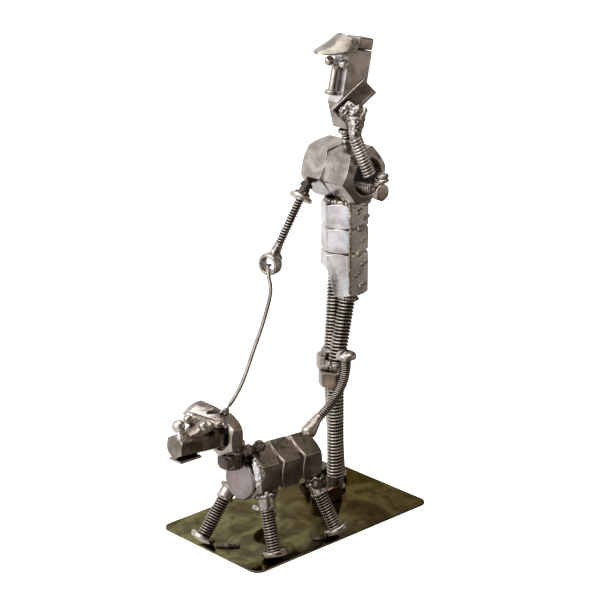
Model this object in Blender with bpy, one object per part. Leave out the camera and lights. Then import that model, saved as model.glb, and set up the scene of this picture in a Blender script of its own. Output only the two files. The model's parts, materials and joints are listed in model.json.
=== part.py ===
"""Welded steel sculpture: a man on the phone walks a small dog on a stiff wire lead.

The figures are nuts, bolts, studs, steel balls and scraps of bar, welded together and to a thin plate.
+Z is up, X runs along the plate's long side with both figures facing -X, and Y runs across it, away
from the dog's left side. The origin is the middle of the plate's underside. Lengths are in metres.
"""
import math

import bmesh
import bpy
from mathutils import Matrix, Vector

MM = 0.001

# What keeps two welded pieces apart in the model, where their faces meet.
GAP = 0.25 * MM

# Base plate: thin sheet with round corners.
PLATE_LENGTH = 84.7 * MM
PLATE_WIDTH = 50.9 * MM
PLATE_THICKNESS = 0.8 * MM
PLATE_CORNER = 3.6 * MM

# The man stands on two long bolts, on the middle plane of his body.
MAN_Y = 10.1 * MM
LEG_SPACING = 6.8 * MM
LEG_ROD = 6.35 * MM
HIP_HEIGHT = 74.9 * MM
KNEE_HEIGHT = 41.6 * MM
FAR_KNEE_RISE = 3.0 * MM
NEAR_FOOT_X = 25.9 * MM
FAR_FOOT_X = 33.6 * MM
NEAR_KNEE_X = 25.7 * MM
FAR_KNEE_X = 30.3 * MM
NEAR_HIP_X = 31.7 * MM
FAR_HIP_X = 32.4 * MM
NEAR_KNEE_FORWARD = 1.5 * MM
FAR_KNEE_FORWARD = 0.7 * MM
KNEE_AF = 9.5 * MM
KNEE_THICKNESS = 5.9 * MM
SHOE_AF = 11.1 * MM
SHOE_THICKNESS = 5.5 * MM
TOE_OUT = math.radians(24)

# Trunk: three hex nuts stacked on end with a corner to the front, the lowest ground to slim hips.
TRUNK_X = 33.1 * MM
TRUNK_AF = 15.6 * MM
HIP_BLOCK = 16.2 * MM
WAIST_NUT = 8.9 * MM
RIB_NUT = 8.9 * MM
HIP_CUT = (-0.70, 0.66, -0.28)
HIP_CUT_HEIGHT = 10.6 * MM
THIGH_RUN = 7.5 * MM

# Chest: two thick hex nuts side by side, their bores along the shoulder line, rolled a little forward.
CHEST_X = 32.2 * MM
CHEST_AF = 19.05 * MM
CHEST_NUT = 12.3 * MM
CHEST_BORE = 12.4 * MM
CHEST_FACE = 14.0 * MM
CHEST_ROLL = math.radians(9)
CHEST_WELD = 0.9 * MM

# Neck and head: a short stud and a leaning rectangular bar whose lower front is cut back as a throat.
NECK_STUD = 3.4 * MM
MAN_NECK_X = 34.0 * MM
NECK_LENGTH = 3.9 * MM
NECK_LEAN = math.radians(16)
HEAD_WIDTH = 7.25 * MM
HEAD_LEAN = math.radians(12.2)
HEAD_DEPTH = 11.3 * MM
FACE_HEIGHT = 19.4 * MM
THROAT_HEIGHT = 9.6 * MM
THROAT_BACK = 2.7 * MM

# Face: two steel balls for eyes and a hanging bolt for the nose.
EYE_BALL = 3.6 * MM
EYE_SPACING = 7.2 * MM
EYE_DOWN = 5.3 * MM
NOSE_SHANK = 3.2 * MM
NOSE_HEAD = 5.7 * MM
NOSE_HEAD_THICKNESS = 1.5 * MM
NOSE_TOP_DOWN = 5.9 * MM
NOSE_LENGTH = 10.8 * MM

# Cap: a block behind and a domed sheet in front, open below.
CROWN_LENGTH = 7.6 * MM
CROWN_HEIGHT = 4.2 * MM
CROWN_BACK = 0.2 * MM
VISOR_LENGTH = 13.0 * MM
VISOR_HALF_WIDTH = 6.4 * MM
VISOR_DOME = 5.8 * MM
VISOR_SHEET = 0.6 * MM
VISOR_FORWARD = 13.0 * MM
VISOR_RISE = -0.7 * MM

# Telephone: a short length of channel held up to the near side of the head.
PHONE_LENGTH = 15.4 * MM
PHONE_WIDTH = 6.8 * MM
PHONE_DEPTH = 2.4 * MM
PHONE_WALL = 0.7 * MM
PHONE_FLOOR = 0.8 * MM
PHONE_TILT = math.radians(43.5)
PHONE_TURN = math.radians(35)
PHONE_DOWN = 17.1 * MM
PHONE_FORWARD = 0.9 * MM
PHONE_OUT = 9.9 * MM

# Left arm: a bolt out of the chest's bore, an upright spring as the forearm and a welded hand.
SHOULDER_BOLT = 3.6 * MM
SHOULDER_BOLT_INSIDE = 6.0 * MM
SHOULDER_BOLT_OUTSIDE = 5.4 * MM
ELBOW_AF = 6.0 * MM
ELBOW_THICKNESS = 3.2 * MM
ELBOW_WASHER = 4.4 * MM
ELBOW_WASHER_THICKNESS = 1.3 * MM
SPRING_OUTER = 4.8 * MM
SPRING_LENGTH = 15.6 * MM
FOREARM_START = (-3.9, -0.4, 6.2)
FOREARM_AXIS = (-0.29, 0.21, 0.93)
HAND_WRIST = 3.4 * MM
HAND_PALM = 5.4 * MM
PALM = (-2.4, -0.2, 3.9)

# Right arm: a cone under the shoulder, a flanged bolt hanging forward and a round nut as the fist.
ARM_SHANK = 3.4 * MM
ARM_FLANGE = 8.7 * MM
ARM_FLANGE_THICKNESS = 1.5 * MM
ARM_CONE_TOP = 2.4 * MM
ARM_CONE_BOTTOM = 4.6 * MM
ARM_CONE_LENGTH = 4.4 * MM
ARM_LENGTH = 21.2 * MM
ARM_SWING = math.radians(35)
ARM_Y = 18.1 * MM
FIST_OUTER = 8.2 * MM
FIST_BORE = 5.5 * MM
FIST_THICKNESS = 4.2 * MM
FIST_TURN = math.radians(12.7)
FIST_BELOW = (-3.3, 0.0, -4.8)

# Lead: one stiff bright wire from the fist down to the dog's head, through these points.
LEAD_WIRE = 1.45 * MM
LEAD_ROUTE = (
    (4.4, 17.7, 90.2),
    (1.6, 16.7, 90.3),
    (0.0, 14.6, 88.2),
    (-2.1, 11.2, 83.0),
    (-9.6, 6.6, 75.4),
    (-18.7, 1.9, 67.9),
    (-27.5, -2.7, 60.9),
    (-34.6, -5.9, 57.0),
    (-38.9, -7.0, 54.6),
)

# Dog's trunk: three hex nuts on one axis, the front end a little higher.
DOG_Y = -7.24 * MM
DOG_AF = 17.5 * MM
DOG_NUT = 9.8 * MM
DOG_BORE = 8.2 * MM
DOG_REAR_X = -2.2 * MM
DOG_AXIS_HEIGHT = 25.3 * MM
DOG_PITCH = math.radians(4.4)
CHEST_DISC = 14.4 * MM
CHEST_DISC_THICKNESS = 2.0 * MM
CHEST_DISC_DROP = 1.7 * MM

# Dog's legs: truss-head bolts, heads down, each with a plain collar at the hip.
PAW_SHANK = 5.1 * MM
PAW_HEAD = 9.1 * MM
PAW_RIM = 0.9 * MM
PAW_DOME = 0.9 * MM
HIP_COLLAR = 5.6 * MM
HIP_COLLAR_LENGTH = 4.2 * MM
RAISED_PAW = 2.6 * MM
HIP_OUT = 4.0 * MM
PAWS = {
    "front_left": (-31.4, -22.6, -28.9, -1, 0),
    "rear_left": (-3.1, -24.5, -5.6, -1, 0),
    "front_right": (-42.9, 3.2, -29.6, 1, 0),
    "rear_right": (-16.4, 0.4, -7.2, 1, 1),
}

# Dog's neck and head: two nuts, a hex bar as the muzzle, a thin jaw, three balls and an oval ear plate.
HEAD_PITCH = math.radians(6)
SKULL_X = -43.0 * MM
SKULL_HEIGHT = 45.1 * MM
SKULL_AF = 13.0 * MM
SKULL_NUT = 5.6 * MM
MUZZLE_AF = 7.5 * MM
MUZZLE_OUT = 19.6 * MM
MUZZLE_INSIDE = 4.6 * MM
SKULL_BORE = MUZZLE_AF * 2 / math.sqrt(3) + 1.4 * MM
NECK_NUT_AF = 8.4 * MM
NECK_NUT = 3.4 * MM
NECK_X = -37.6 * MM
NAPE_WELD = 4.4 * MM
JAW_LENGTH = 9.2 * MM
JAW_WIDTH = 6.2 * MM
JAW_THICKNESS = 0.8 * MM
JAW_OPEN = math.radians(5)
SNOUT_BALL = 4.6 * MM
DOG_EYE_BALL = 3.3 * MM
DOG_EYE_SPACING = 7.9 * MM
DOG_EYE_X = 10.9 * MM
DOG_EYE_HEIGHT = 6.6 * MM
EAR_LENGTH = 12.4 * MM
EAR_SPAN = 21.0 * MM
EAR_THICKNESS = 1.8 * MM
EAR_TURN = math.radians(16)
EAR_PITCH = math.radians(4)
EAR_LIFT = 1.1 * MM
EAR_FORWARD = 5.2 * MM

# Tail: a thin pan-head screw bent upward, through these points above a small cone of weld.
TAIL_SHANK = 3.4 * MM
TAIL_HEAD = 7.2 * MM
TAIL_HEAD_HEIGHT = 2.9 * MM
TAIL_SLOT = 0.9 * MM
TAIL_ROUTE = (
    (-0.6, -7.4, 37.7),
    (2.4, -7.5, 38.8),
    (6.4, -7.7, 41.2),
    (11.6, -7.9, 45.0),
    (15.2, -8.0, 49.6),
    (16.6, -8.0, 54.4),
    (16.6, -8.0, 58.6),
)

# Two long weld beads left on the plate beside the dog's left rear and right front paws.
LEAD_BEAD = 7.2 * MM
BEAD_WIDTH = 2.6 * MM
BEAD_LENGTH = 9.0 * MM
BEAD_HEIGHT = 1.3 * MM
SHORT_BEAD_LENGTH = 5.4 * MM

ROUND_SIDES = 20
SMALL_SIDES = 12
FRONT = Vector((-1, 0, 0))
UP = Vector((0, 0, 1))

MATERIALS = {
    "patina_plate": ((0.27, 0.24, 0.11), 0.16, 1.0),
    "nut_steel": ((0.52, 0.48, 0.43), 0.28, 1.0),
    "rod_steel": ((0.46, 0.43, 0.40), 0.26, 1.0),
    "bright_steel": ((0.66, 0.64, 0.61), 0.18, 1.0),
    "weld_steel": ((0.58, 0.55, 0.50), 0.30, 1.0),
}


def clear_scene():
    for ob in list(bpy.data.objects):
        bpy.data.objects.remove(ob)


def make_material(name):
    color, roughness, metallic = MATERIALS[name]
    material = bpy.data.materials.new(name)
    material.use_nodes = True
    shader = material.node_tree.nodes["Principled BSDF"]
    shader.inputs["Base Color"].default_value = (*color, 1.0)
    shader.inputs["Roughness"].default_value = roughness
    shader.inputs["Metallic"].default_value = metallic
    return material


def mesh_from(bm, name):
    """Finish a bmesh: merge doubles, turn its faces outward and shade its round sides smooth."""
    bmesh.ops.remove_doubles(bm, verts=bm.verts, dist=0.00001)
    bmesh.ops.recalc_face_normals(bm, faces=bm.faces)
    mesh = bpy.data.meshes.new(name)
    bm.to_mesh(mesh)
    bm.free()
    mesh.shade_smooth()
    mesh.set_sharp_from_angle(angle=math.radians(35))
    return mesh


def add_piece(name, mesh, material, matrix=None):
    ob = bpy.data.objects.new(name, mesh)
    mesh.materials.clear()
    mesh.materials.append(bpy.data.materials[material])
    bpy.context.scene.collection.objects.link(ob)
    if matrix is not None:
        ob.matrix_world = matrix
    return ob


def pose(origin, axis=UP, side=FRONT):
    """Matrix that puts a shape's own +Z along axis and its +X as near to side as it can be."""
    z = Vector(axis).normalized()
    x = Vector(side) - z * z.dot(Vector(side))
    if x.length < 1e-6:
        x = z.orthogonal()
    x.normalize()
    y = z.cross(x)
    turn = Matrix((x, y, z)).transposed().to_4x4()
    return Matrix.Translation(Vector(origin)) @ turn


def turned(profile, sides=ROUND_SIDES, closed=False):
    """Turn (radius, height) points about Z; a closed profile makes a ring."""
    bm = bmesh.new()
    verts = [bm.verts.new((radius, 0, height)) for radius, height in profile]
    edges = [bm.edges.new(pair) for pair in zip(verts, verts[1:])]
    if closed:
        edges.append(bm.edges.new((verts[-1], verts[0])))
    bmesh.ops.spin(bm, geom=verts + edges, cent=(0, 0, 0), axis=(0, 0, 1), angle=2 * math.pi,
                   steps=sides, use_merge=True)
    return bm


def cut(mesh, tool, operation, tool_matrix=None):
    """Boolean of two meshes, read back as one mesh; both helpers are removed again."""
    body = bpy.data.objects.new("body", mesh)
    cutter = bpy.data.objects.new("cutter", tool)
    cutter.hide_render = True
    cutter.display_type = "WIRE"
    if tool_matrix is not None:
        cutter.matrix_world = tool_matrix
    for ob in (body, cutter):
        bpy.context.scene.collection.objects.link(ob)
    step = body.modifiers.new("cut", "BOOLEAN")
    step.operation = operation
    step.object = cutter
    bpy.context.view_layer.update()
    seen = body.evaluated_get(bpy.context.evaluated_depsgraph_get())
    result = bpy.data.meshes.new_from_object(seen)
    for ob in (body, cutter):
        bpy.data.objects.remove(ob)
    bm = bmesh.new()
    bm.from_mesh(result)
    return mesh_from(bm, "cut")


def hex_prism(across_flats, height):
    """Six-sided prism on z = 0 with a corner toward +X."""
    bm = bmesh.new()
    radius = across_flats / math.sqrt(3)
    bmesh.ops.create_cone(bm, cap_ends=True, segments=6, radius1=radius, radius2=radius, depth=height)
    first = min(bm.verts, key=lambda v: abs(math.atan2(v.co.y, v.co.x)))
    bmesh.ops.rotate(bm, verts=bm.verts, cent=(0, 0, 0),
                     matrix=Matrix.Rotation(-math.atan2(first.co.y, first.co.x), 3, "Z"))
    bmesh.ops.translate(bm, verts=bm.verts, vec=(0, 0, height / 2))
    return mesh_from(bm, "hex")


def hex_nut(across_flats, height, face, bore=0.0, slope=math.radians(30)):
    """Nut or bolt head: a hex prism inside a turned blank whose ends slope away from a flat face."""
    corner = across_flats / math.sqrt(3) + 0.2 * MM
    drop = (corner - face / 2) * math.tan(slope)
    profile = [(face / 2, 0), (corner, drop), (corner, height - drop), (face / 2, height)]
    if bore:
        profile += [(bore / 2, height), (bore / 2, 0)]
    else:
        profile = [(0, 0)] + profile + [(0, height)]
    blank = mesh_from(turned(profile, ROUND_SIDES, closed=bool(bore)), "blank")
    return cut(blank, hex_prism(across_flats, height), "INTERSECT")


def cylinder(radius, length, sides=ROUND_SIDES):
    return mesh_from(turned([(0, 0), (radius, 0), (radius, length), (0, length)], sides), "cylinder")


def ball(diameter, rings=8):
    arc = [(diameter / 2 * math.sin(math.pi * i / rings), -diameter / 2 * math.cos(math.pi * i / rings))
           for i in range(rings + 1)]
    arc[0] = (0, -diameter / 2)
    arc[-1] = (0, diameter / 2)
    return mesh_from(turned(arc, SMALL_SIDES), "ball")


def box(size, bevel=0.0):
    bm = bmesh.new()
    bmesh.ops.create_cube(bm, size=1.0)
    bmesh.ops.scale(bm, vec=size, verts=bm.verts)
    if bevel:
        bmesh.ops.bevel(bm, geom=bm.edges, offset=bevel, affect="EDGES", segments=1, profile=0.5, material=-1)
    return mesh_from(bm, "box")


def prism(outline, width):
    """Extrude an (x, z) outline along Y, centred on y = 0."""
    bm = bmesh.new()
    face = bm.faces.new([bm.verts.new((x, -width / 2, z)) for x, z in outline])
    grown = bmesh.ops.extrude_face_region(bm, geom=[face])
    moved = [item for item in grown["geom"] if isinstance(item, bmesh.types.BMVert)]
    bmesh.ops.translate(bm, verts=moved, vec=(0, width, 0))
    return bm


def smooth_route(route, steps):
    """Points along a smooth curve through the route's own points."""
    points = [Vector(p) for p in route]
    ends = [points[0] * 2 - points[1]] + points + [points[-1] * 2 - points[-2]]
    path = []
    for a, b, c, d in zip(ends, ends[1:], ends[2:], ends[3:]):
        for i in range(steps):
            t = i / steps
            path.append(0.5 * (2 * b + (c - a) * t + (2 * a - 5 * b + 4 * c - d) * t ** 2
                               + (3 * b - a - 3 * c + d) * t ** 3))
    return path + [points[-1]]


def sweep(path, radii, sides=12, flat=1.0):
    """Closed tube along a path; flat squeezes its section across the first side direction."""
    bm = bmesh.new()
    side = Vector((0, 1, 0))
    loops = []
    for i, point in enumerate(path):
        axis = (path[min(i + 1, len(path) - 1)] - path[max(i - 1, 0)]).normalized()
        side = (side - axis * side.dot(axis)).normalized()
        ring = bmesh.ops.create_circle(bm, segments=sides, radius=1.0)["verts"]
        bmesh.ops.scale(bm, vec=(radii[i] * flat, radii[i], 1), verts=ring)
        bmesh.ops.transform(bm, matrix=pose(point, axis, side), verts=ring)
        loops.append(list({edge for vert in ring for edge in vert.link_edges}))
    for first, second in zip(loops, loops[1:]):
        bmesh.ops.bridge_loops(bm, edges=first + second)
    bmesh.ops.edgeloop_fill(bm, edges=loops[0])
    bmesh.ops.edgeloop_fill(bm, edges=loops[-1])
    return mesh_from(bm, "sweep")


def bead(length, width, height):
    """Weld bead lying on z = 0 along X: a low rounded ridge that tapers at both ends."""
    bm = bmesh.new()
    bmesh.ops.create_icosphere(bm, subdivisions=2, radius=1.0)
    bmesh.ops.scale(bm, vec=(length / 2, width / 2, height), verts=bm.verts)
    bmesh.ops.bisect_plane(bm, geom=bm.verts[:] + bm.edges[:] + bm.faces[:], plane_co=(0, 0, 0),
                           plane_no=(0, 0, -1), clear_outer=True)
    bmesh.ops.holes_fill(bm, edges=bm.edges, sides=0)
    return mesh_from(bm, "bead")


def keep_behind(mesh, point, normal):
    """Cut away what lies past a plane and close the cut."""
    bm = bmesh.new()
    bm.from_mesh(mesh)
    bmesh.ops.bisect_plane(bm, geom=bm.verts[:] + bm.edges[:] + bm.faces[:], plane_co=point,
                           plane_no=normal, clear_outer=True)
    bmesh.ops.holes_fill(bm, edges=bm.edges, sides=0)
    return mesh_from(bm, mesh.name)


def base_plate():
    bm = bmesh.new()
    bmesh.ops.create_grid(bm, x_segments=1, y_segments=1, size=0.5)
    bmesh.ops.scale(bm, vec=(PLATE_LENGTH, PLATE_WIDTH, 1), verts=bm.verts)
    bmesh.ops.bevel(bm, geom=bm.verts[:], offset=PLATE_CORNER, affect="VERTICES", segments=8, profile=0.5,
                    material=-1)
    grown = bmesh.ops.extrude_face_region(bm, geom=bm.faces[:])
    moved = [item for item in grown["geom"] if isinstance(item, bmesh.types.BMVert)]
    bmesh.ops.translate(bm, verts=moved, vec=(0, 0, PLATE_THICKNESS))
    add_piece("base_plate", mesh_from(bm, "plate"), "patina_plate")


def rod_between(name, start, end, diameter, material="rod_steel"):
    """Threaded rod at its outer diameter; its square ends keep clear of level faces at both points."""
    start = Vector(start)
    end = Vector(end)
    axis = (end - start).normalized()
    side_step = math.hypot(axis.x, axis.y) * diameter / 2
    inset = axis * ((GAP + side_step) / abs(axis.z))
    length = (end - start).length - 2 * inset.length
    add_piece(name, cylinder(diameter / 2, length), material, pose(start + inset, axis))


def far_thigh():
    """Both ends of the far thigh bolt's middle line; its top runs up beside the hips."""
    knee_top = PLATE_THICKNESS + KNEE_HEIGHT + FAR_KNEE_RISE + KNEE_THICKNESS + GAP
    y = MAN_Y + LEG_SPACING / 2
    return Vector((FAR_KNEE_X, y, knee_top)), Vector((FAR_HIP_X, y, PLATE_THICKNESS + HIP_HEIGHT + THIGH_RUN))


def man_leg(side, y, foot_x, knee_x, hip_x, knee_z, knee_forward, outward, run=0.0):
    plate = PLATE_THICKNESS
    foot = Vector((foot_x, y, plate))
    knee = Vector((knee_x, y, plate + knee_z))
    knee_top = knee + UP * (KNEE_THICKNESS + GAP)
    hip = Vector((hip_x, y, plate + HIP_HEIGHT))
    rod_between(f"man_{side}_shin_bolt", foot, knee + UP * GAP / 2, LEG_ROD)
    nut = hex_nut(KNEE_AF, KNEE_THICKNESS, KNEE_AF * 0.94)
    if outward < 0:
        nut = keep_behind(nut, Vector((0, LEG_SPACING - KNEE_AF / 2 - GAP, 0)), Vector((0, 1, 0)))
    add_piece(f"man_{side}_knee_nut", nut, "nut_steel", pose(knee + FRONT * knee_forward + UP * GAP / 2))
    rod_between(f"man_{side}_thigh_bolt", knee_top, hip + UP * run, LEG_ROD)
    toe = Matrix.Rotation(outward * TOE_OUT, 3, "Z") @ FRONT
    lean = abs(knee_x - foot_x) / knee_z * SHOE_THICKNESS
    reach = LEG_ROD / 2 + GAP + lean + SHOE_AF / 2
    shoe = hex_nut(SHOE_AF, SHOE_THICKNESS, SHOE_AF * 0.94)
    flat_side = Matrix.Rotation(math.radians(30), 3, "Z") @ toe
    add_piece(f"man_{side}_shoe_nut", shoe, "nut_steel", pose(foot + toe * reach + UP * GAP, UP, flat_side))


def man_trunk():
    """Three stacked nuts. Returns the height of the top of the stack."""
    base = PLATE_THICKNESS + HIP_HEIGHT
    radius = TRUNK_AF / math.sqrt(3)
    hips = hex_nut(TRUNK_AF, HIP_BLOCK, TRUNK_AF * 0.97)
    place = pose((TRUNK_X, MAN_Y, base))
    out = Vector(HIP_CUT).normalized()
    notch = box((TRUNK_AF, TRUNK_AF * 2, HIP_BLOCK * 2))
    corner = Vector((TRUNK_X - radius, MAN_Y, base + HIP_CUT_HEIGHT))
    shift = Matrix.Translation((TRUNK_AF / 2, 0, -HIP_BLOCK))
    hips = cut(hips, notch, "DIFFERENCE", place.inverted() @ pose(corner, UP - out * out.z, out) @ shift)
    start, end = far_thigh()
    hollow = cylinder(LEG_ROD / 2 + GAP, (end - start).length + GAP)
    hips = cut(hips, hollow, "DIFFERENCE", place.inverted() @ pose(start, end - start))
    add_piece("man_hip_nut", hips, "nut_steel", place)
    waist = base + HIP_BLOCK + GAP
    add_piece("man_waist_nut", hex_nut(TRUNK_AF, WAIST_NUT, TRUNK_AF * 0.97), "nut_steel",
              pose((TRUNK_X, MAN_Y, waist)))
    ribs = waist + WAIST_NUT + GAP
    add_piece("man_rib_nut", hex_nut(TRUNK_AF, RIB_NUT, TRUNK_AF * 0.97), "nut_steel",
              pose((TRUNK_X, MAN_Y, ribs)))
    return ribs + RIB_NUT


def man_chest(trunk_top):
    """Two thick nuts along Y over a flat pad of weld. Returns the centre of the chest."""
    radius = CHEST_AF / math.sqrt(3)
    lowest = radius * math.cos(math.radians(30) - CHEST_ROLL)
    pad = CHEST_WELD - 2 * GAP
    add_piece("man_chest_weld", cylinder(TRUNK_AF * 0.36, pad, SMALL_SIDES), "weld_steel",
              pose((CHEST_X + 0.5 * MM, MAN_Y, trunk_top + GAP)))
    centre = Vector((CHEST_X, MAN_Y, trunk_top + CHEST_WELD + lowest))
    nut = hex_nut(CHEST_AF, CHEST_NUT, CHEST_FACE, CHEST_BORE)
    corner = Matrix.Rotation(-CHEST_ROLL, 3, "Y") @ FRONT
    for side, start in (("left", -CHEST_NUT - GAP / 2), ("right", GAP / 2)):
        add_piece(f"man_chest_nut_{side}", nut.copy(), "nut_steel",
                  pose(centre + Vector((0, start, 0)), (0, 1, 0), corner))
    return centre


def chest_top_at(centre, x):
    """Height of the chest's upper flat at x."""
    flat = CHEST_AF / 2
    top = centre + Vector((-math.sin(CHEST_ROLL) * flat, 0, math.cos(CHEST_ROLL) * flat))
    return top.z + (x - top.x) * math.tan(CHEST_ROLL)


def man_neck(centre):
    """Stud from the chest's upper flat to the head. Returns the middle of its upper end."""
    axis = Vector((-math.sin(NECK_LEAN), 0, math.cos(NECK_LEAN)))
    lift = GAP + NECK_STUD / 2 * math.sin(NECK_LEAN)
    start = Vector((MAN_NECK_X, MAN_Y, chest_top_at(centre, MAN_NECK_X) + lift))
    add_piece("man_neck_stud", cylinder(NECK_STUD / 2, NECK_LENGTH, SMALL_SIDES), "rod_steel",
              pose(start, axis))
    return start + axis * NECK_LENGTH


def man_head(neck_top):
    """Leaning bar. Returns a function that places a point by its height below the brow and its
    distance in front of the face, and the matrix of the head's top."""
    rise = Vector((math.sin(HEAD_LEAN), 0, math.cos(HEAD_LEAN)))
    back = Vector((math.cos(HEAD_LEAN), 0, -math.sin(HEAD_LEAN)))
    bottom = neck_top.z + GAP + NECK_STUD / 2 * math.sin(NECK_LEAN)
    throat = Vector((neck_top.x - 2.6 * MM, MAN_Y, bottom + 0.5 * MM))
    chin = throat + Vector((-THROAT_BACK, 0, THROAT_HEIGHT))
    brow = chin + rise * FACE_HEIGHT
    crown = brow + back * HEAD_DEPTH
    run = (crown.z - bottom) / rise.z
    nape = crown - rise * run
    corners = [Vector((p.x, 0, p.z)) for p in (throat, chin, brow, crown, nape)]
    bm = prism([(p.x, p.z) for p in corners], HEAD_WIDTH)
    bmesh.ops.recalc_face_normals(bm, faces=bm.faces)
    bmesh.ops.bevel(bm, geom=bm.edges[:], offset=0.25 * MM, affect="EDGES", segments=1, profile=0.5, material=-1)
    add_piece("man_head_block", mesh_from(bm, "head"), "nut_steel", Matrix.Translation((0, MAN_Y, 0)))

    def on_face(down, forward, across=0.0):
        return brow - rise * down - back * forward + Vector((0, across, 0))

    return on_face, rise, back, crown


def man_face(on_face, rise, back):
    for side, sign in (("left", -1), ("right", 1)):
        centre = on_face(EYE_DOWN, EYE_BALL / 2 + GAP, sign * EYE_SPACING / 2)
        add_piece(f"man_{side}_eye_ball", ball(EYE_BALL), "bright_steel", pose(centre))
    profile = [(0, 0), (NOSE_HEAD / 2, 0), (NOSE_HEAD / 2, NOSE_HEAD_THICKNESS),
               (NOSE_SHANK / 2, NOSE_HEAD_THICKNESS), (NOSE_SHANK / 2, NOSE_LENGTH), (0, NOSE_LENGTH)]
    bolt = mesh_from(turned(profile, SMALL_SIDES), "nose")
    offset = NOSE_SHANK / 2 + GAP
    bolt = keep_behind(bolt, Vector((-offset + GAP, 0, 0)), Vector((-1, 0, 0)))
    add_piece("man_nose_bolt", bolt, "rod_steel", pose(on_face(NOSE_TOP_DOWN + NOSE_LENGTH, offset), rise, -back))


def man_cap(on_face, rise, back, crown):
    size = (CROWN_LENGTH, HEAD_WIDTH, CROWN_HEIGHT)
    middle = crown + back * (CROWN_BACK - CROWN_LENGTH / 2) + rise * (GAP + CROWN_HEIGHT / 2)
    add_piece("man_cap_crown", box(size, 0.5 * MM), "nut_steel", pose(middle, rise, back))
    bm = bmesh.new()
    bmesh.ops.create_grid(bm, x_segments=10, y_segments=10, size=1.0)
    for vert in bm.verts:
        along = (vert.co.x + 1) / 2
        across = vert.co.y
        outline = math.sqrt(max(0.0, 1 - (1 - along) ** 2.4)) * 0.985 + 0.015
        ridge = VISOR_DOME * (0.22 + 0.78 * along ** 1.8) * math.cos(across * math.pi / 2) ** 0.8
        vert.co = Vector((along * VISOR_LENGTH, across * VISOR_HALF_WIDTH * outline,
                          ridge * min(1.0, 0.25 + outline)))
    visor = add_piece("man_cap_visor", mesh_from(bm, "visor"), "bright_steel",
                      pose(on_face(0, 0) + Vector((-VISOR_FORWARD, 0, VISOR_RISE)), UP, -FRONT))
    sheet = visor.modifiers.new("sheet", "SOLIDIFY")
    sheet.thickness = VISOR_SHEET
    sheet.offset = 1.0


def phone_frame(on_face):
    """Matrix of the telephone: +Z out of its open side, +X along its length."""
    out = Vector((-math.sin(PHONE_TURN), -math.cos(PHONE_TURN), 0))
    level = Vector((math.cos(PHONE_TURN), -math.sin(PHONE_TURN), 0))
    along = level * math.cos(PHONE_TILT) + UP * math.sin(PHONE_TILT)
    centre = on_face(PHONE_DOWN, PHONE_FORWARD, -PHONE_OUT)
    return pose(centre, out, along)


def phone(matrix):
    body = box((PHONE_LENGTH, PHONE_WIDTH, PHONE_DEPTH), 0.15 * MM)
    inner = box((PHONE_LENGTH - 2 * PHONE_WALL, PHONE_WIDTH - 2 * PHONE_WALL, PHONE_DEPTH))
    body = cut(body, inner, "DIFFERENCE", Matrix.Translation((0, 0, PHONE_FLOOR)))
    add_piece("telephone_channel", body, "nut_steel", matrix)


def left_arm(centre, phone_matrix):
    shoulder_y = MAN_Y - CHEST_NUT
    rest = (CHEST_BORE - SHOULDER_BOLT) / 2 - GAP
    elbow = Vector((centre.x - 0.7 * MM, shoulder_y - SHOULDER_BOLT_OUTSIDE, centre.z - rest * 0.97))
    shank = SHOULDER_BOLT_INSIDE + SHOULDER_BOLT_OUTSIDE - GAP
    add_piece("man_shoulder_bolt", cylinder(SHOULDER_BOLT / 2, shank, SMALL_SIDES), "rod_steel",
              pose(elbow + Vector((0, GAP, 0)), (0, 1, 0)))
    nut = hex_nut(ELBOW_AF, ELBOW_THICKNESS, ELBOW_AF * 0.9)
    add_piece("man_elbow_nut", nut, "nut_steel", pose(elbow, (0, -1, 0), UP))
    step = ELBOW_WASHER_THICKNESS
    foot = ELBOW_WASHER * 0.36
    spool = [(0, 0), (foot, 0), (foot, step), (ELBOW_WASHER / 2, step), (ELBOW_WASHER / 2, step * 2), (0, step * 2)]
    washer = elbow + Vector((1.0 * MM, -ELBOW_THICKNESS / 2, ELBOW_AF / math.sqrt(3) + GAP))
    add_piece("man_elbow_washer", mesh_from(turned(spool, SMALL_SIDES), "spool"), "weld_steel", pose(washer))
    axis = Vector(FOREARM_AXIS).normalized()
    start = elbow + Vector(FOREARM_START) * MM
    add_piece("man_forearm_spring", cylinder(SPRING_OUTER / 2, SPRING_LENGTH, SMALL_SIDES), "rod_steel",
              pose(start, axis))
    wrist = start + axis * (SPRING_LENGTH + 0.8 * MM)
    palm = phone_matrix @ (Vector(PALM) * MM)
    middle = (wrist + palm) / 2 + Vector((-0.5, -1.0, 0.6)) * MM
    path = smooth_route([wrist, middle, palm], 4)
    last = len(path) - 1
    radii = [(HAND_WRIST + (HAND_PALM - HAND_WRIST) * min(1, 1.4 * i / last)) / 2 for i in range(last + 1)]
    radii[-1] *= 0.6
    add_piece("man_left_hand", sweep(path, radii, 10), "weld_steel")


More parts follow.
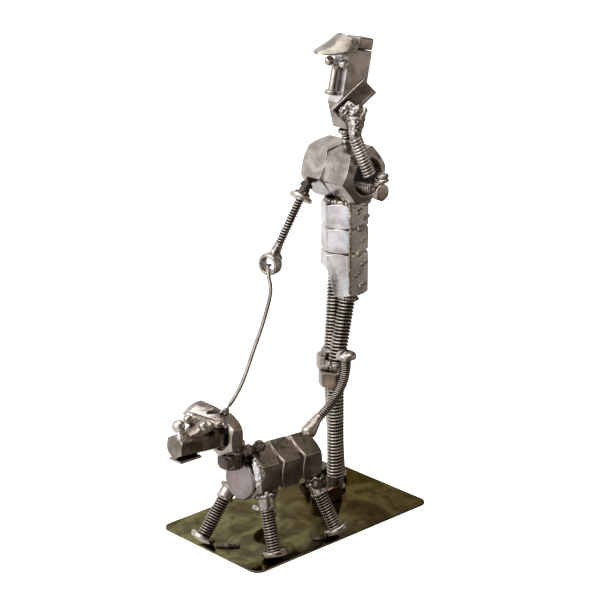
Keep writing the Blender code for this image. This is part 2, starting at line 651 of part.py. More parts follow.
def right_arm(centre):
    """Cone, flanged bolt and fist. Returns the fist's centre."""
    down = Vector((-math.sin(ARM_SWING), 0, -math.cos(ARM_SWING)))
    radius = CHEST_AF / math.sqrt(3)
    corner = centre + Vector((-math.cos(CHEST_ROLL), 0, -math.sin(CHEST_ROLL))) * radius
    start = Vector((corner.x + 0.9 * MM, ARM_Y, corner.z - 3.1 * MM))
    cone = mesh_from(turned([(0, 0), (ARM_CONE_TOP / 2, 0), (ARM_CONE_BOTTOM / 2, ARM_CONE_LENGTH),
                             (0, ARM_CONE_LENGTH)], SMALL_SIDES), "cone")
    add_piece("man_right_shoulder_cone", cone, "rod_steel", pose(start, down))
    flange = start + down * (ARM_CONE_LENGTH + GAP)
    profile = [(0, 0), (ARM_FLANGE / 2 - 0.4 * MM, 0), (ARM_FLANGE / 2, 0.4 * MM),
               (ARM_FLANGE / 2, ARM_FLANGE_THICKNESS), (ARM_SHANK / 2, ARM_FLANGE_THICKNESS),
               (ARM_SHANK / 2, ARM_LENGTH - 1.4 * MM), (ARM_SHANK / 2 - 0.5 * MM, ARM_LENGTH), (0, ARM_LENGTH)]
    add_piece("man_right_arm_bolt", mesh_from(turned(profile), "arm"), "rod_steel", pose(flange, down))
    fist = flange + down * ARM_LENGTH + Vector(FIST_BELOW) * MM
    facing = Vector((-math.cos(FIST_TURN), -math.sin(FIST_TURN), 0))
    outer = FIST_OUTER / 2
    inner = FIST_BORE / 2
    half = FIST_THICKNESS / 2
    soft = 0.9 * MM
    ring = [(outer - soft, -half), (outer - soft * 0.3, -half + soft * 0.3), (outer, -half + soft),
            (outer, half - soft), (outer - soft * 0.3, half - soft * 0.3), (outer - soft, half),
            (inner + soft * 0.4, half), (inner, half - soft * 0.4), (inner, soft * 0.4 - half),
            (inner + soft * 0.4, -half)]
    add_piece("man_right_fist_nut", mesh_from(turned(ring, ROUND_SIDES, closed=True), "fist"), "nut_steel",
              pose(fist, facing))
    return fist


def lead():
    path = smooth_route([Vector(p) * MM for p in LEAD_ROUTE], 4)
    add_piece("lead_wire", sweep(path, [LEAD_WIRE / 2] * len(path), 8), "bright_steel")


def dog_frame():
    """Matrix of the dog's trunk: +X to its tail, origin at the rear end of the axis."""
    rear = Vector((DOG_REAR_X, DOG_Y, PLATE_THICKNESS + DOG_AXIS_HEIGHT))
    tail = Vector((math.cos(DOG_PITCH), 0, -math.sin(DOG_PITCH)))
    return pose(rear, tail.cross(Vector((0, 1, 0))), tail)


def dog_trunk(frame):
    nut = hex_nut(DOG_AF, DOG_NUT, DOG_AF * 0.88, DOG_BORE)
    for place, name in enumerate(("rear", "middle", "front")):
        start = -(place + 1) * DOG_NUT - place * GAP
        add_piece(f"dog_{name}_body_nut", nut.copy(), "nut_steel",
                  frame @ pose((start, 0, 0), (1, 0, 0), (0, 0, 1)))
    front = -3 * DOG_NUT - 3 * GAP
    disc = [(0, 0), (CHEST_DISC / 2 - 0.5 * MM, 0), (CHEST_DISC / 2, -0.5 * MM),
            (CHEST_DISC / 2, -CHEST_DISC_THICKNESS + 0.7 * MM),
            (CHEST_DISC / 2 - 0.9 * MM, -CHEST_DISC_THICKNESS), (0, -CHEST_DISC_THICKNESS)]
    add_piece("dog_chest_disc", mesh_from(turned(disc), "disc"), "nut_steel",
              frame @ pose((front, 0, -CHEST_DISC_DROP), (1, 0, 0)))


def bolt_profile():
    """Truss-head bolt, dome down on z = 0, without its shank's length."""
    radius = PAW_HEAD / 2
    dome = [(radius * t, PAW_DOME * t ** 2.2) for t in (0.0, 0.35, 0.6, 0.8, 0.93, 1.0)]
    return dome + [(radius, PAW_DOME + PAW_RIM), (PAW_SHANK / 2, PAW_DOME + PAW_RIM)]


def paw_origin(profile, x, y, top, lift):
    """Where a leaning bolt stands so that its head just clears the plate."""
    origin = Vector((x, y, PLATE_THICKNESS))
    for _ in range(4):
        axis = (top - origin).normalized()
        tilt = math.acos(axis.z)
        lowest = min(height * math.cos(tilt) - radius * math.sin(tilt) for radius, height in profile)
        origin.z = PLATE_THICKNESS + GAP + lift - lowest
    return origin


def dog_legs(frame):
    normal_tilt = math.radians(30)
    for name, (x, y, hip_x, sign, raised) in PAWS.items():
        normal = frame.to_3x3() @ Vector((0, sign * math.sin(normal_tilt), -math.cos(normal_tilt)))
        slide = frame.to_3x3() @ Vector((0, sign * math.cos(normal_tilt), math.sin(normal_tilt)))
        along = frame @ Vector((hip_x * MM - DOG_REAR_X, 0, 0))
        face = along + normal * (DOG_AF / 2) + slide * HIP_OUT
        profile = bolt_profile()
        origin = paw_origin(profile, x * MM, y * MM, face, raised * RAISED_PAW)
        axis = (face - origin).normalized()
        lean = math.acos(min(1.0, -axis.dot(normal)))
        end = face - axis * ((GAP + HIP_COLLAR / 2 * math.sin(lean)) / math.cos(lean))
        collar_start = end - axis * HIP_COLLAR_LENGTH
        add_piece(f"dog_{name}_hip_collar", cylinder(HIP_COLLAR / 2, HIP_COLLAR_LENGTH, SMALL_SIDES),
                  "nut_steel", pose(collar_start, axis))
        length = (collar_start - origin).length - GAP
        shank = [(PAW_SHANK / 2, length), (0, length)]
        add_piece(f"dog_{name}_leg_bolt", mesh_from(turned(profile + shank), "leg"), "rod_steel",
                  pose(origin, axis))


def dog_head():
    """Everything here hangs on the skull nut's front face: +X of its frame points back, +Z up."""
    centre = Vector((SKULL_X, DOG_Y, PLATE_THICKNESS + SKULL_HEIGHT))
    back = Vector((math.cos(HEAD_PITCH), 0, -math.sin(HEAD_PITCH)))
    head = pose(centre, back.cross(Vector((0, 1, 0))), back)
    corner = SKULL_AF / math.sqrt(3)
    skull = hex_nut(SKULL_AF, SKULL_NUT, SKULL_AF * 0.9, SKULL_BORE)
    add_piece("dog_skull_nut", skull, "nut_steel", head @ pose((0, 0, 0), (1, 0, 0), UP))
    neck_z = centre.z - corner - SKULL_NUT * math.sin(HEAD_PITCH) - GAP - NECK_NUT
    neck = hex_nut(NECK_NUT_AF, NECK_NUT, NECK_NUT_AF * 0.92)
    add_piece("dog_neck_nut", neck, "nut_steel", pose((NECK_X, DOG_Y, neck_z), UP, (0, 1, 0)))
    nape = Vector((SKULL_X + SKULL_NUT + 0.9 * MM + NAPE_WELD / 2, DOG_Y - 1.0 * MM, centre.z - 5.2 * MM))
    add_piece("dog_nape_weld", ball(NAPE_WELD), "weld_steel", pose(nape))
    muzzle_corner = MUZZLE_AF / math.sqrt(3)
    drop = SKULL_BORE / 2 - muzzle_corner - GAP * 1.5
    muzzle = hex_nut(MUZZLE_AF, MUZZLE_OUT + MUZZLE_INSIDE, MUZZLE_AF * 1.02)
    add_piece("dog_muzzle_bar", muzzle, "nut_steel", head @ pose((MUZZLE_INSIDE, 0, -drop), FRONT, UP))
    tip = Vector((-MUZZLE_OUT, 0, -drop))
    hinge = Vector((math.cos(JAW_OPEN), 0, math.sin(JAW_OPEN)))
    low = muzzle_corner + GAP + JAW_THICKNESS / 2 + JAW_LENGTH / 2 * math.sin(JAW_OPEN)
    add_piece("dog_jaw_plate", box((JAW_LENGTH, JAW_WIDTH, JAW_THICKNESS), 0.12 * MM), "nut_steel",
              head @ pose(tip + Vector((JAW_LENGTH / 2, 0, -low)), hinge.cross(Vector((0, 1, 0))), hinge))
    nose = tip + Vector((SNOUT_BALL * 0.3, 0, muzzle_corner + GAP + SNOUT_BALL / 2))
    add_piece("dog_nose_ball", ball(SNOUT_BALL), "bright_steel", head @ pose(nose))
    for side, sign in (("left", -1), ("right", 1)):
        place = head @ pose((-DOG_EYE_X, sign * DOG_EYE_SPACING / 2, DOG_EYE_HEIGHT))
        add_piece(f"dog_{side}_eye_ball", ball(DOG_EYE_BALL), "bright_steel", place)
    plate = turned([(0, 0), (EAR_LENGTH / 2, 0), (EAR_LENGTH / 2, EAR_THICKNESS), (0, EAR_THICKNESS)])
    bmesh.ops.scale(plate, vec=(1, EAR_SPAN / EAR_LENGTH, 1), verts=plate.verts)
    slope = Vector((math.cos(EAR_PITCH), 0, -math.sin(EAR_PITCH)))
    hub = Vector((-EAR_FORWARD, 0, corner + EAR_LIFT))
    ears = head @ pose(hub, slope.cross(Vector((0, 1, 0))), slope) @ Matrix.Rotation(EAR_TURN, 4, "Z")
    add_piece("dog_ear_plate", mesh_from(plate, "ears"), "nut_steel", ears)
    add_piece("lead_end_bead", bead(LEAD_BEAD, LEAD_WIRE * 1.3, LEAD_WIRE), "weld_steel",
              ears @ Matrix.Translation((1.2 * MM, 0, EAR_THICKNESS + GAP)))


def dog_tail():
    path = smooth_route([Vector(p) * MM for p in TAIL_ROUTE], 4)
    add_piece("dog_tail_screw", sweep(path, [TAIL_SHANK / 2] * len(path), 12), "rod_steel")
    axis = (path[-1] - path[-2]).normalized()
    radius = TAIL_HEAD / 2
    dome = [(radius * math.cos(a), TAIL_HEAD_HEIGHT * (0.35 + 0.65 * math.sin(a)))
            for a in (math.pi / 2 * i / 6 for i in range(6))]
    head = mesh_from(turned([(0, 0), (radius, 0)] + dome + [(0, TAIL_HEAD_HEIGHT)]), "pan")
    slot = box((TAIL_HEAD * 1.2, TAIL_SLOT, TAIL_HEAD_HEIGHT))
    head = cut(head, slot, "DIFFERENCE", Matrix.Translation((0, 0, TAIL_HEAD_HEIGHT * 1.1)))
    add_piece("dog_tail_head", head, "bright_steel", pose(path[-1] + axis * GAP, axis))


def plate_beads():
    across = Vector((0.72, -0.69, 0))
    top = PLATE_THICKNESS + GAP
    add_piece("front_paw_weld_bead", bead(BEAD_LENGTH, BEAD_WIDTH, BEAD_HEIGHT), "weld_steel",
              pose((-36.4 * MM, -3.6 * MM, top), UP, across))
    add_piece("rear_paw_weld_bead", bead(SHORT_BEAD_LENGTH, BEAD_WIDTH, BEAD_HEIGHT), "weld_steel",
              pose((-9.2 * MM, -21.4 * MM, top), UP, across))


def main():
    clear_scene()
    for name in MATERIALS:
        make_material(name)
    base_plate()
    near = MAN_Y - LEG_SPACING / 2
    far = MAN_Y + LEG_SPACING / 2
    man_leg("left", near, NEAR_FOOT_X, NEAR_KNEE_X, NEAR_HIP_X, KNEE_HEIGHT, NEAR_KNEE_FORWARD, 1)
    man_leg("right", far, FAR_FOOT_X, FAR_KNEE_X, FAR_HIP_X, KNEE_HEIGHT + FAR_KNEE_RISE,
            FAR_KNEE_FORWARD, -1, THIGH_RUN)
    centre = man_chest(man_trunk())
    on_face, rise, back, crown = man_head(man_neck(centre))
    man_face(on_face, rise, back)
    man_cap(on_face, rise, back, crown)
    phone_matrix = phone_frame(on_face)
    phone(phone_matrix)
    left_arm(centre, phone_matrix)
    right_arm(centre)
    lead()
    frame = dog_frame()
    dog_trunk(frame)
    dog_legs(frame)
    dog_head()
    dog_tail()
    plate_beads()


main()
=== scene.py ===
# %% [markdown]
# # A man and his dog, welded from nuts and bolts
#
# The sculpture is scrap steel: hex nuts for the bodies, threaded bolts for the limbs, a coil spring for a
# forearm, steel balls for the eyes and one stiff wire for the lead. Everything is welded together and to a
# thin plate, then polished and lacquered. The solids come from the frame, and nearly every piece made here
# takes its place from one of them. Only the bent lines and some welds are given in millimetres.

# %% Load the frame
import json
import math

import bmesh
import bpy
import numpy as np
from mathutils import Matrix, Vector, noise


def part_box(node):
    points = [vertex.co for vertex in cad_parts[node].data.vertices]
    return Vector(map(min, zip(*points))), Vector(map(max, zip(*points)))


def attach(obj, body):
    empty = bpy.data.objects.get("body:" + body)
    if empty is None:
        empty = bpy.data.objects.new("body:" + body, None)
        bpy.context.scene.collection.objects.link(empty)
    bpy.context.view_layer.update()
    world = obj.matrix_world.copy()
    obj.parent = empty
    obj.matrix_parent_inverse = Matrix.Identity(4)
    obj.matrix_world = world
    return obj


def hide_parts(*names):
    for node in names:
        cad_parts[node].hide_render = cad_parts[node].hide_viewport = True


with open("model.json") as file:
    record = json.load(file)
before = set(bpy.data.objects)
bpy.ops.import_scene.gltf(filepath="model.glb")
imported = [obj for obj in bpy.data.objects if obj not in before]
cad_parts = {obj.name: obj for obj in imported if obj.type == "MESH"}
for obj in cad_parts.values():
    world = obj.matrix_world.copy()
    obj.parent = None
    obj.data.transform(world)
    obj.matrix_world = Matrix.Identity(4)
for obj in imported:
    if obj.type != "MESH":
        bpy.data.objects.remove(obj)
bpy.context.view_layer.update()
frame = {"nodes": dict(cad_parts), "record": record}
MM = 0.001
UP = Vector((0, 0, 1))
FRONT = Vector((-1, 0, 0))
print("nodes:", len(frame["nodes"]))

# %% [markdown]
# ## Writing materials as sums
#
# A steel finish is mostly arithmetic on noise: where the polish is worn, how deep a scratch is, where heat
# has browned the metal. Each Math node could be added and wired by hand, but a small class that wraps a
# socket lets the same thing be read as one line, such as `0.2 + scratch * 0.1`.

# %% Socket wrapper and finish builder
class Value:
    """An output socket that takes part in sums; each operator adds one Math node."""

    def __init__(self, finish, socket):
        self.finish = finish
        self.socket = socket

    def _math(self, operation, first, second=0.0):
        return self.finish.add("ShaderNodeMath", {"operation": operation}, {0: first, 1: second})

    def __add__(self, other):
        return self._math("ADD", self, other)

    def __radd__(self, other):
        return self._math("ADD", other, self)

    def __sub__(self, other):
        return self._math("SUBTRACT", self, other)

    def __rsub__(self, other):
        return self._math("SUBTRACT", other, self)

    def __mul__(self, other):
        return self._math("MULTIPLY", self, other)

    def __rmul__(self, other):
        return self._math("MULTIPLY", other, self)

    def kept(self):
        """The value held between 0 and 1."""
        held = self._math("ADD", self, 0.0)
        held.socket.node.use_clamp = True
        return held


class Finish:
    """A node tree under construction."""

    def __init__(self, tree):
        self.tree = tree
        tree.nodes.clear()

    def add(self, kind, settings=None, sockets=None, output=0):
        """One node: its settings first, then the values or links of its sockets."""
        made = self.tree.nodes.new(kind)
        for key, value in (settings or {}).items():
            if key == "stops":
                ramp = made.color_ramp
                while len(ramp.elements) < len(value):
                    ramp.elements.new(0.5)
                for element, (position, color) in zip(ramp.elements, value):
                    element.position = position
                    element.color = (*color, 1.0)
            else:
                setattr(made, key, value)
        for key, value in (sockets or {}).items():
            socket = self.find(made.inputs, key)
            if isinstance(value, Value):
                self.tree.links.new(value.socket, socket)
            elif isinstance(value, tuple) and len(value) == 3 and socket.type == "RGBA":
                socket.default_value = (*value, 1.0)
            else:
                socket.default_value = value
        return Value(self, self.find(made.outputs, output)) if made.outputs else made

    @staticmethod
    def find(sockets, key):
        if isinstance(key, int):
            return sockets[key]
        named = [s for s in sockets if s.identifier == key]
        return named[0] if named else sockets[key]

    def noise(self, place, scale, detail=3.0, roughness=0.55, distortion=0.0):
        return self.add("ShaderNodeTexNoise", None, {"Vector": place, "Scale": scale, "Detail": detail,
                                                     "Roughness": roughness, "Distortion": distortion})

    def spread(self, value, low, high):
        """Stretches low..high to 0..1 with soft ends."""
        return self.add("ShaderNodeMapRange", {"interpolation_type": "SMOOTHSTEP"},
                        {"Value": value, "From Min": low, "From Max": high})

    def blend(self, share, first, second, kind="MIX"):
        return self.add("ShaderNodeMix", {"data_type": "RGBA", "blend_type": kind},
                        {"Factor_Float": share, "A_Color": first, "B_Color": second}, "Result_Color")

    def place(self, kind="Object"):
        return self.add("ShaderNodeTexCoord", None, None, kind)

    def part(self, place, axis):
        return self.add("ShaderNodeSeparateXYZ", None, {"Vector": place}, axis)

    def mapped(self, scale, turn=(0.0, 0.0, 0.0)):
        """Object coordinates, turned and stretched."""
        return self.add("ShaderNodeMapping", None, {"Vector": self.place(), "Rotation": turn, "Scale": scale})


def new_material(name):
    material = bpy.data.materials.new(name)
    material.use_nodes = True
    return material, Finish(material.node_tree)


print("finish builder ready")

# %% [markdown]
# ## Polished, lacquered scrap steel
#
# On the real figures the nuts are wire-brushed and lacquered: the steel is a warm grey-brown, bright where
# it was ground and dull in the pores, with fine scratches in two directions and a straw or brown tint
# where the torch has been. A photograph of steel would fix the light into the surface. Noise gives the same
# marks without any light in them. The finish also paints shade: thread roots, nut bores, the inside of the
# spring coil and the telephone's recess are darkened towards near black. The rods carry how deep each point
# lies in the thread as an attribute, so this painted shade follows the helix.

# %% Steel finishes
BURNT = (0.26, 0.16, 0.09)
# Near-black colour of the painted shade in thread roots, nut bores, the spring's inside and the telephone's
# recess.
GROOVE_SHADE_TONE = (0.018, 0.015, 0.012)


def steel(name, dark, light, polish, grain=1.0, heat=0.25, pits=0.3, soot_and_shade=0.75):
    """A metal finish between two tones.

    polish is its middle roughness, grain the depth of its scratches, heat and pits are shares, and the last
    argument is the share of painted shade that darkens thread roots, bores and recesses.
    """
    material, f = new_material(name)
    place = f.place()
    cloud = f.spread(f.noise(place, 160.0, 4.0, 0.6, 0.4), 0.32, 0.68)
    grit = f.noise(place, 2600.0, 3.0, 0.7)
    lengthwise = f.noise(f.mapped((260.0, 2400.0, 5200.0), (0.25, 0.1, 0.4)), 1.0, 2.0, 0.6)
    crosswise = f.noise(f.mapped((4800.0, 300.0, 2600.0), (0.5, -0.3, 0.2)), 1.0, 2.0, 0.6)
    scratch = f.spread(lengthwise, 0.52, 0.72) * 0.6 + f.spread(crosswise, 0.56, 0.76) * 0.5
    pore = f.spread(f.noise(place, 900.0, 2.0, 0.5, 0.6), 0.62, 0.74) * pits
    burn = f.spread(f.noise(place, 95.0, 2.0, 0.5, 0.8), 0.52, 0.74) * heat
    groove = f.add("ShaderNodeAttribute", {"attribute_name": "groove"}, None, "Fac")
    tone = (cloud * 0.75 + grit * 0.12 - pore * 0.8 + scratch * 0.2 + 0.01).kept()
    color = f.blend(tone, dark, light)
    color = f.blend(burn, color, BURNT)
    # Painted shade: a per-point attribute darkens thread roots, bores and recesses towards near black.
    color = f.blend((groove * soot_and_shade * 1.25).kept(), color, GROOVE_SHADE_TONE)
    rough = polish - 0.03 + cloud * 0.07 + scratch * 0.10 * grain + pore * 0.3 + groove * 0.15
    relief = grit * 0.08 + scratch * 0.45 - pore * 1.4
    bump = f.add("ShaderNodeBump", None, {"Strength": 0.35 * grain, "Distance": 0.00006, "Height": relief})
    shader = f.add("ShaderNodeBsdfPrincipled", None,
                   {"Base Color": color, "Metallic": 1.0, "Roughness": rough.kept(), "Normal": bump,
                    "Coat Weight": 0.25, "Coat Roughness": 0.08})
    f.add("ShaderNodeOutputMaterial", None, {"Surface": shader})
    return material


NUT = steel("brushed_nut_steel", (0.22, 0.185, 0.155), (0.62, 0.55, 0.49), 0.21, heat=0.32)
CHEST = steel("polished_chest_steel", (0.25, 0.215, 0.195), (0.60, 0.545, 0.51), 0.19, heat=0.25, pits=0.2)
TRUNK = steel("polished_trunk_steel", (0.42, 0.395, 0.385), (0.86, 0.83, 0.83), 0.15, heat=0.20, pits=0.2)
HEAD = steel("brushed_head_steel", (0.20, 0.165, 0.14), (0.52, 0.45, 0.405), 0.33, heat=0.25, pits=0.2)
DOG = steel("smoked_dog_steel", (0.13, 0.105, 0.082), (0.46, 0.395, 0.335), 0.20, heat=0.40, pits=0.3)
BLUSH = steel("straw_tinted_steel", (0.21, 0.165, 0.16), (0.38, 0.32, 0.31), 0.26, heat=0.25)
ROD = steel("bolt_thread_steel", (0.30, 0.26, 0.23), (0.70, 0.635, 0.58), 0.18, grain=0.5, heat=0.2,
            soot_and_shade=0.95)
BRIGHT = steel("bright_polished_steel", (0.32, 0.285, 0.25), (0.64, 0.585, 0.53), 0.15, grain=0.5, heat=0.12,
               pits=0.15)
HAMMERED = steel("hammered_sheet_steel", (0.20, 0.175, 0.145), (0.46, 0.42, 0.37), 0.25, grain=1.2, heat=0.25,
                 pits=0.5)
LEAD = steel("drawn_wire_steel", (0.17, 0.155, 0.125), (0.36, 0.34, 0.29), 0.24, grain=0.4, heat=0.1,
             pits=0.1)
LEG = steel("dog_leg_thread_steel", (0.24, 0.195, 0.16), (0.58, 0.505, 0.445), 0.18, grain=0.5, heat=0.25,
            soot_and_shade=0.95)
# A lighter steel for the head's front faces: a painted reflection, lighter than the head's own steel.
FACE_REFLECTION = steel("painted_reflection_face_steel", (0.50, 0.47, 0.465), (0.84, 0.81, 0.81), 0.46, grain=0.6, heat=0.1, pits=0.1)
WELD = steel("weld_bead_steel", (0.09, 0.075, 0.062), (0.60, 0.55, 0.50), 0.17, grain=0.8, heat=0.35,
             pits=0.4)
# Near-black steel; on the man's shoes it is painted shade.
NEAR_BLACK = steel("near_black_steel", (0.022, 0.017, 0.014), (0.15, 0.118, 0.095), 0.22, grain=0.8, heat=0.5,
               pits=0.4)
LOOKS = {"nut_steel": NUT, "rod_steel": ROD, "bright_steel": BRIGHT, "weld_steel": WELD}
print("steel finishes:", len(bpy.data.materials))

# %% [markdown]
# ## The plate's patina
#
# The plate was heated until it coloured: olive and yellow-green films with brown and nearly black clouds,
# under clear lacquer that makes a dark mirror. The colours are films on metal, so the plate stays fully
# metallic and only its tint changes, through one ramp over warped noise.

# %% Patina finish
def patina(name):
    material, f = new_material(name)
    place = f.place()
    film = f.noise(place, 58.0, 5.0, 0.6, 1.4)
    drift = f.part(place, "X")
    warm = (film * 1.35 - drift * 1.2 - 0.14).kept()
    color = f.add("ShaderNodeValToRGB", {"stops": (
        (0.10, (0.036, 0.029, 0.021)), (0.34, (0.088, 0.073, 0.047)), (0.52, (0.140, 0.121, 0.073)),
        (0.68, (0.240, 0.226, 0.112)), (0.86, (0.175, 0.120, 0.076)))}, {"Fac": warm}, "Color")
    soot_and_shade = f.spread(f.noise(place, 130.0, 4.0, 0.6, 0.7), 0.54, 0.76) * 0.7
    color = f.blend(soot_and_shade, color, (0.014, 0.013, 0.009))
    speck = f.spread(f.noise(place, 1500.0, 2.0, 0.5), 0.62, 0.75)
    scuff = f.spread(f.noise(f.mapped((140.0, 2600.0, 900.0), (0.0, 0.0, 0.6)), 1.0, 2.0), 0.60, 0.78)
    color = f.blend(scuff * 0.35, color, (0.30, 0.29, 0.20))
    rough = 0.10 + scuff * 0.18 + speck * 0.12 + soot_and_shade * 0.05
    wave = f.noise(place, 75.0, 2.0, 0.5)
    bump = f.add("ShaderNodeBump", None, {"Strength": 0.25, "Distance": 0.0004,
                                          "Height": wave + speck * 0.05 + scuff * 0.04})
    shader = f.add("ShaderNodeBsdfPrincipled", None,
                   {"Base Color": color, "Metallic": 1.0, "Roughness": rough.kept(), "Normal": bump,
                    "Specular Tint": (0.44, 0.40, 0.33)})
    f.add("ShaderNodeOutputMaterial", None, {"Surface": shader})
    return material


LOOKS["patina_plate"] = patina("olive_heat_patina")
print("patina ready")

# %% [markdown]
# ## Reading a solid's place
#
# Every nut and bolt has one centre line. Its flat ends are the largest faces that look along it, so the
# direction is read from them, and the centre from the solid's volume. The first guess of the direction only
# has to be within 45 degrees.

# %% Measure a node
SLOTS = {part["node"]: part["material_slot"] for part in frame["record"]["subparts"]}


def triangles(name):
    mesh = frame["nodes"][name].data
    mesh.calc_loop_triangles()
    points = np.array([vert.co[:] for vert in mesh.vertices])
    return points, points[np.array([tri.vertices[:] for tri in mesh.loop_triangles])]


def measure(name, guess):
    """The centre line of a node: matrix with +Z along it from its lower end, length, radius, corner side."""
    points, tris = triangles(name)
    a, b, c = tris[:, 0], tris[:, 1], tris[:, 2]
    cross = np.cross(b - a, c - a)
    area = np.linalg.norm(cross, axis=1)
    volume = np.einsum("ij,ij->i", a, np.cross(b, c))
    centre = ((a + b + c) / 4 * volume[:, None]).sum(0) / volume.sum()
    normal = cross / np.maximum(area, 1e-14)[:, None]
    guess = np.array(Vector(guess).normalized())
    facing = normal @ guess > 0.70
    groups = {}
    for direction, size in zip(normal[facing], area[facing]):
        groups.setdefault(tuple(np.round(direction, 2)), []).append((direction * size, size))
    best = max(groups.values(), key=lambda group: sum(size for _, size in group))
    axis = sum(direction for direction, _ in best)
    axis = axis / np.linalg.norm(axis)
    height = (points - centre) @ axis
    radial = (points - centre) - height[:, None] * axis
    reach = np.linalg.norm(radial, axis=1)
    corner = radial[reach.argmax()]
    return pose(centre + axis * height.min(), axis, corner), height.max() - height.min(), reach.max()


def pose(origin, axis=UP, side=FRONT):
    """Matrix that puts a shape's own +Z along axis and its +X as near to side as it can be."""
    z = Vector(axis).normalized()
    x = Vector(side) - z * z.dot(Vector(side))
    x = x.normalized() if x.length > 1e-7 else z.orthogonal().normalized()
    return Matrix.Translation(Vector(origin)) @ Matrix((x, z.cross(x), z)).transposed().to_4x4()


print("shin:", round(measure("man_left_shin_bolt", UP)[1] / MM, 1), "mm long")

# %% [markdown]
# ## Handing a piece over
#
# Each finished mesh is cleaned the same way: doubles merged, faces turned outward, curved sides smooth and
# real edges sharp. A fine Bevel modifier rounds the edges, which is what catches the light on a machined
# nut. The piece then rides on the body and replaces the solid that it dresses.

# %% Finish a piece
def keep(name, bm, nodes=(), look=None, edge=0.0, slot=None, matrix=None, crease=32):
    """Makes the object of a bmesh, with its material and its edge rounding, hangs it on the root body and
    hides the nodes it dresses.
    """
    if matrix is not None:
        bmesh.ops.transform(bm, matrix=matrix, verts=bm.verts)
    bmesh.ops.remove_doubles(bm, verts=bm.verts, dist=1e-6)
    bmesh.ops.recalc_face_normals(bm, faces=bm.faces)
    mesh = bpy.data.meshes.new(name)
    bm.to_mesh(mesh)
    bm.free()
    mesh.shade_smooth()
    if not edge:
        mesh.set_sharp_from_angle(angle=math.radians(crease))
    piece = bpy.data.objects.new(name, mesh)
    bpy.context.scene.collection.objects.link(piece)
    slot = slot or SLOTS[nodes[0]]
    mesh.materials.append(look or LOOKS[slot])
    if edge:
        bevel = piece.modifiers.new("worn_edges", "BEVEL")
        bevel.width = edge
        bevel.segments = 3
        bevel.limit_method = "ANGLE"
        bevel.angle_limit = math.radians(26)
        bevel.harden_normals = True
    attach(piece, "root")
    if nodes:
        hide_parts(*nodes)
    return piece


def merged(name):
    """A bmesh of a CAD node with its loose triangles merged into flat faces."""
    bm = bmesh.new()
    bm.from_mesh(frame["nodes"][name].data)
    bmesh.ops.remove_doubles(bm, verts=bm.verts, dist=1e-6)
    bmesh.ops.dissolve_limit(bm, angle_limit=math.radians(1), verts=bm.verts, edges=bm.edges)
    return bm


def dress(name, edge=0.15 * MM, look=None):
    """The solid's own shape with rounded edges."""
    return keep(name + "_dressed", merged(name), (name,), look, edge)


print("helpers ready")

# %% [markdown]
# ## Turned shapes and threads
#
# A bolt could be a cylinder with a striped picture on it, but the photograph's whole character is the
# light running round real threads. So the surface of a rod is a grid wrapped round its line: each row
# of the grid has a radius, and where it is threaded the radius dips once per pitch along a helix. The
# same grid follows a bent line for the tail and the lead.

# %% Rods, threads and rings
def valley(phase):
    """How deep in a 60 degree thread a point is: 0 on the crest, 1 in the root."""
    near = abs((phase % 1.0) * 2 - 1)
    return 1 - min(1.0, max(0.0, (near - 0.16) / 0.62))


def rod(rows, place, pitch=MM, depth=0.0, around=36):
    """A closed rod: rows are (radius, height, thread share), place gives a matrix for a height."""
    bm = bmesh.new()
    groove = bm.verts.layers.float.new("groove")
    bmesh.ops.create_grid(bm, x_segments=around, y_segments=len(rows) - 1, size=1.0)
    places = [place(height) for _, height, _ in rows]
    for vert in bm.verts:
        column = (vert.co.x + 1) / 2
        row = round((vert.co.y + 1) / 2 * (len(rows) - 1))
        radius, height, share = rows[row]
        dip = share * valley(height / pitch - column)
        # How deep a point lies in the thread, kept as the share of painted shade in the thread root.
        vert[groove] = dip
        reach = radius - depth * dip
        turn = column * 2 * math.pi
        vert.co = places[row] @ Vector((reach * math.cos(turn), reach * math.sin(turn), 0))
    bmesh.ops.remove_doubles(bm, verts=bm.verts, dist=2e-6)
    bmesh.ops.holes_fill(bm, edges=[edge for edge in bm.edges if edge.is_boundary], sides=0)
    return bm


def threaded_rows(radius, start, end, pitch, chamfer=0.0, fine=8):
    """Rows of a threaded length, with a plain chamfer at its far end."""
    count = max(2, round((end - start) / pitch * fine))
    rows = [(radius, start + (end - start) * i / count, 1.0) for i in range(count + 1)]
    if chamfer:
        rows = [(radius - max(0.0, height - end + chamfer), height, 1.0) for _, height, _ in rows]
    return rows


def straight(matrix):
    return lambda height: matrix @ Matrix.Translation((0, 0, height))


def turned(profile, matrix, around=64):
    """A closed solid or ring of (radius, height) points turned about +Z."""
    bm = bmesh.new()
    verts = [bm.verts.new((radius, 0, height)) for radius, height in profile]
    ring = profile[0][0] > 0 and profile[-1][0] > 0
    pairs = list(zip(verts, verts[1:])) + ([(verts[-1], verts[0])] if ring else [])
    edges = [bm.edges.new(pair) for pair in pairs]
    bmesh.ops.spin(bm, geom=verts + edges, cent=(0, 0, 0), axis=(0, 0, 1), angle=2 * math.pi, steps=around,
                   use_merge=True)
    bmesh.ops.transform(bm, matrix=matrix, verts=bm.verts)
    bmesh.ops.remove_doubles(bm, verts=bm.verts, dist=1e-6)
    return bm


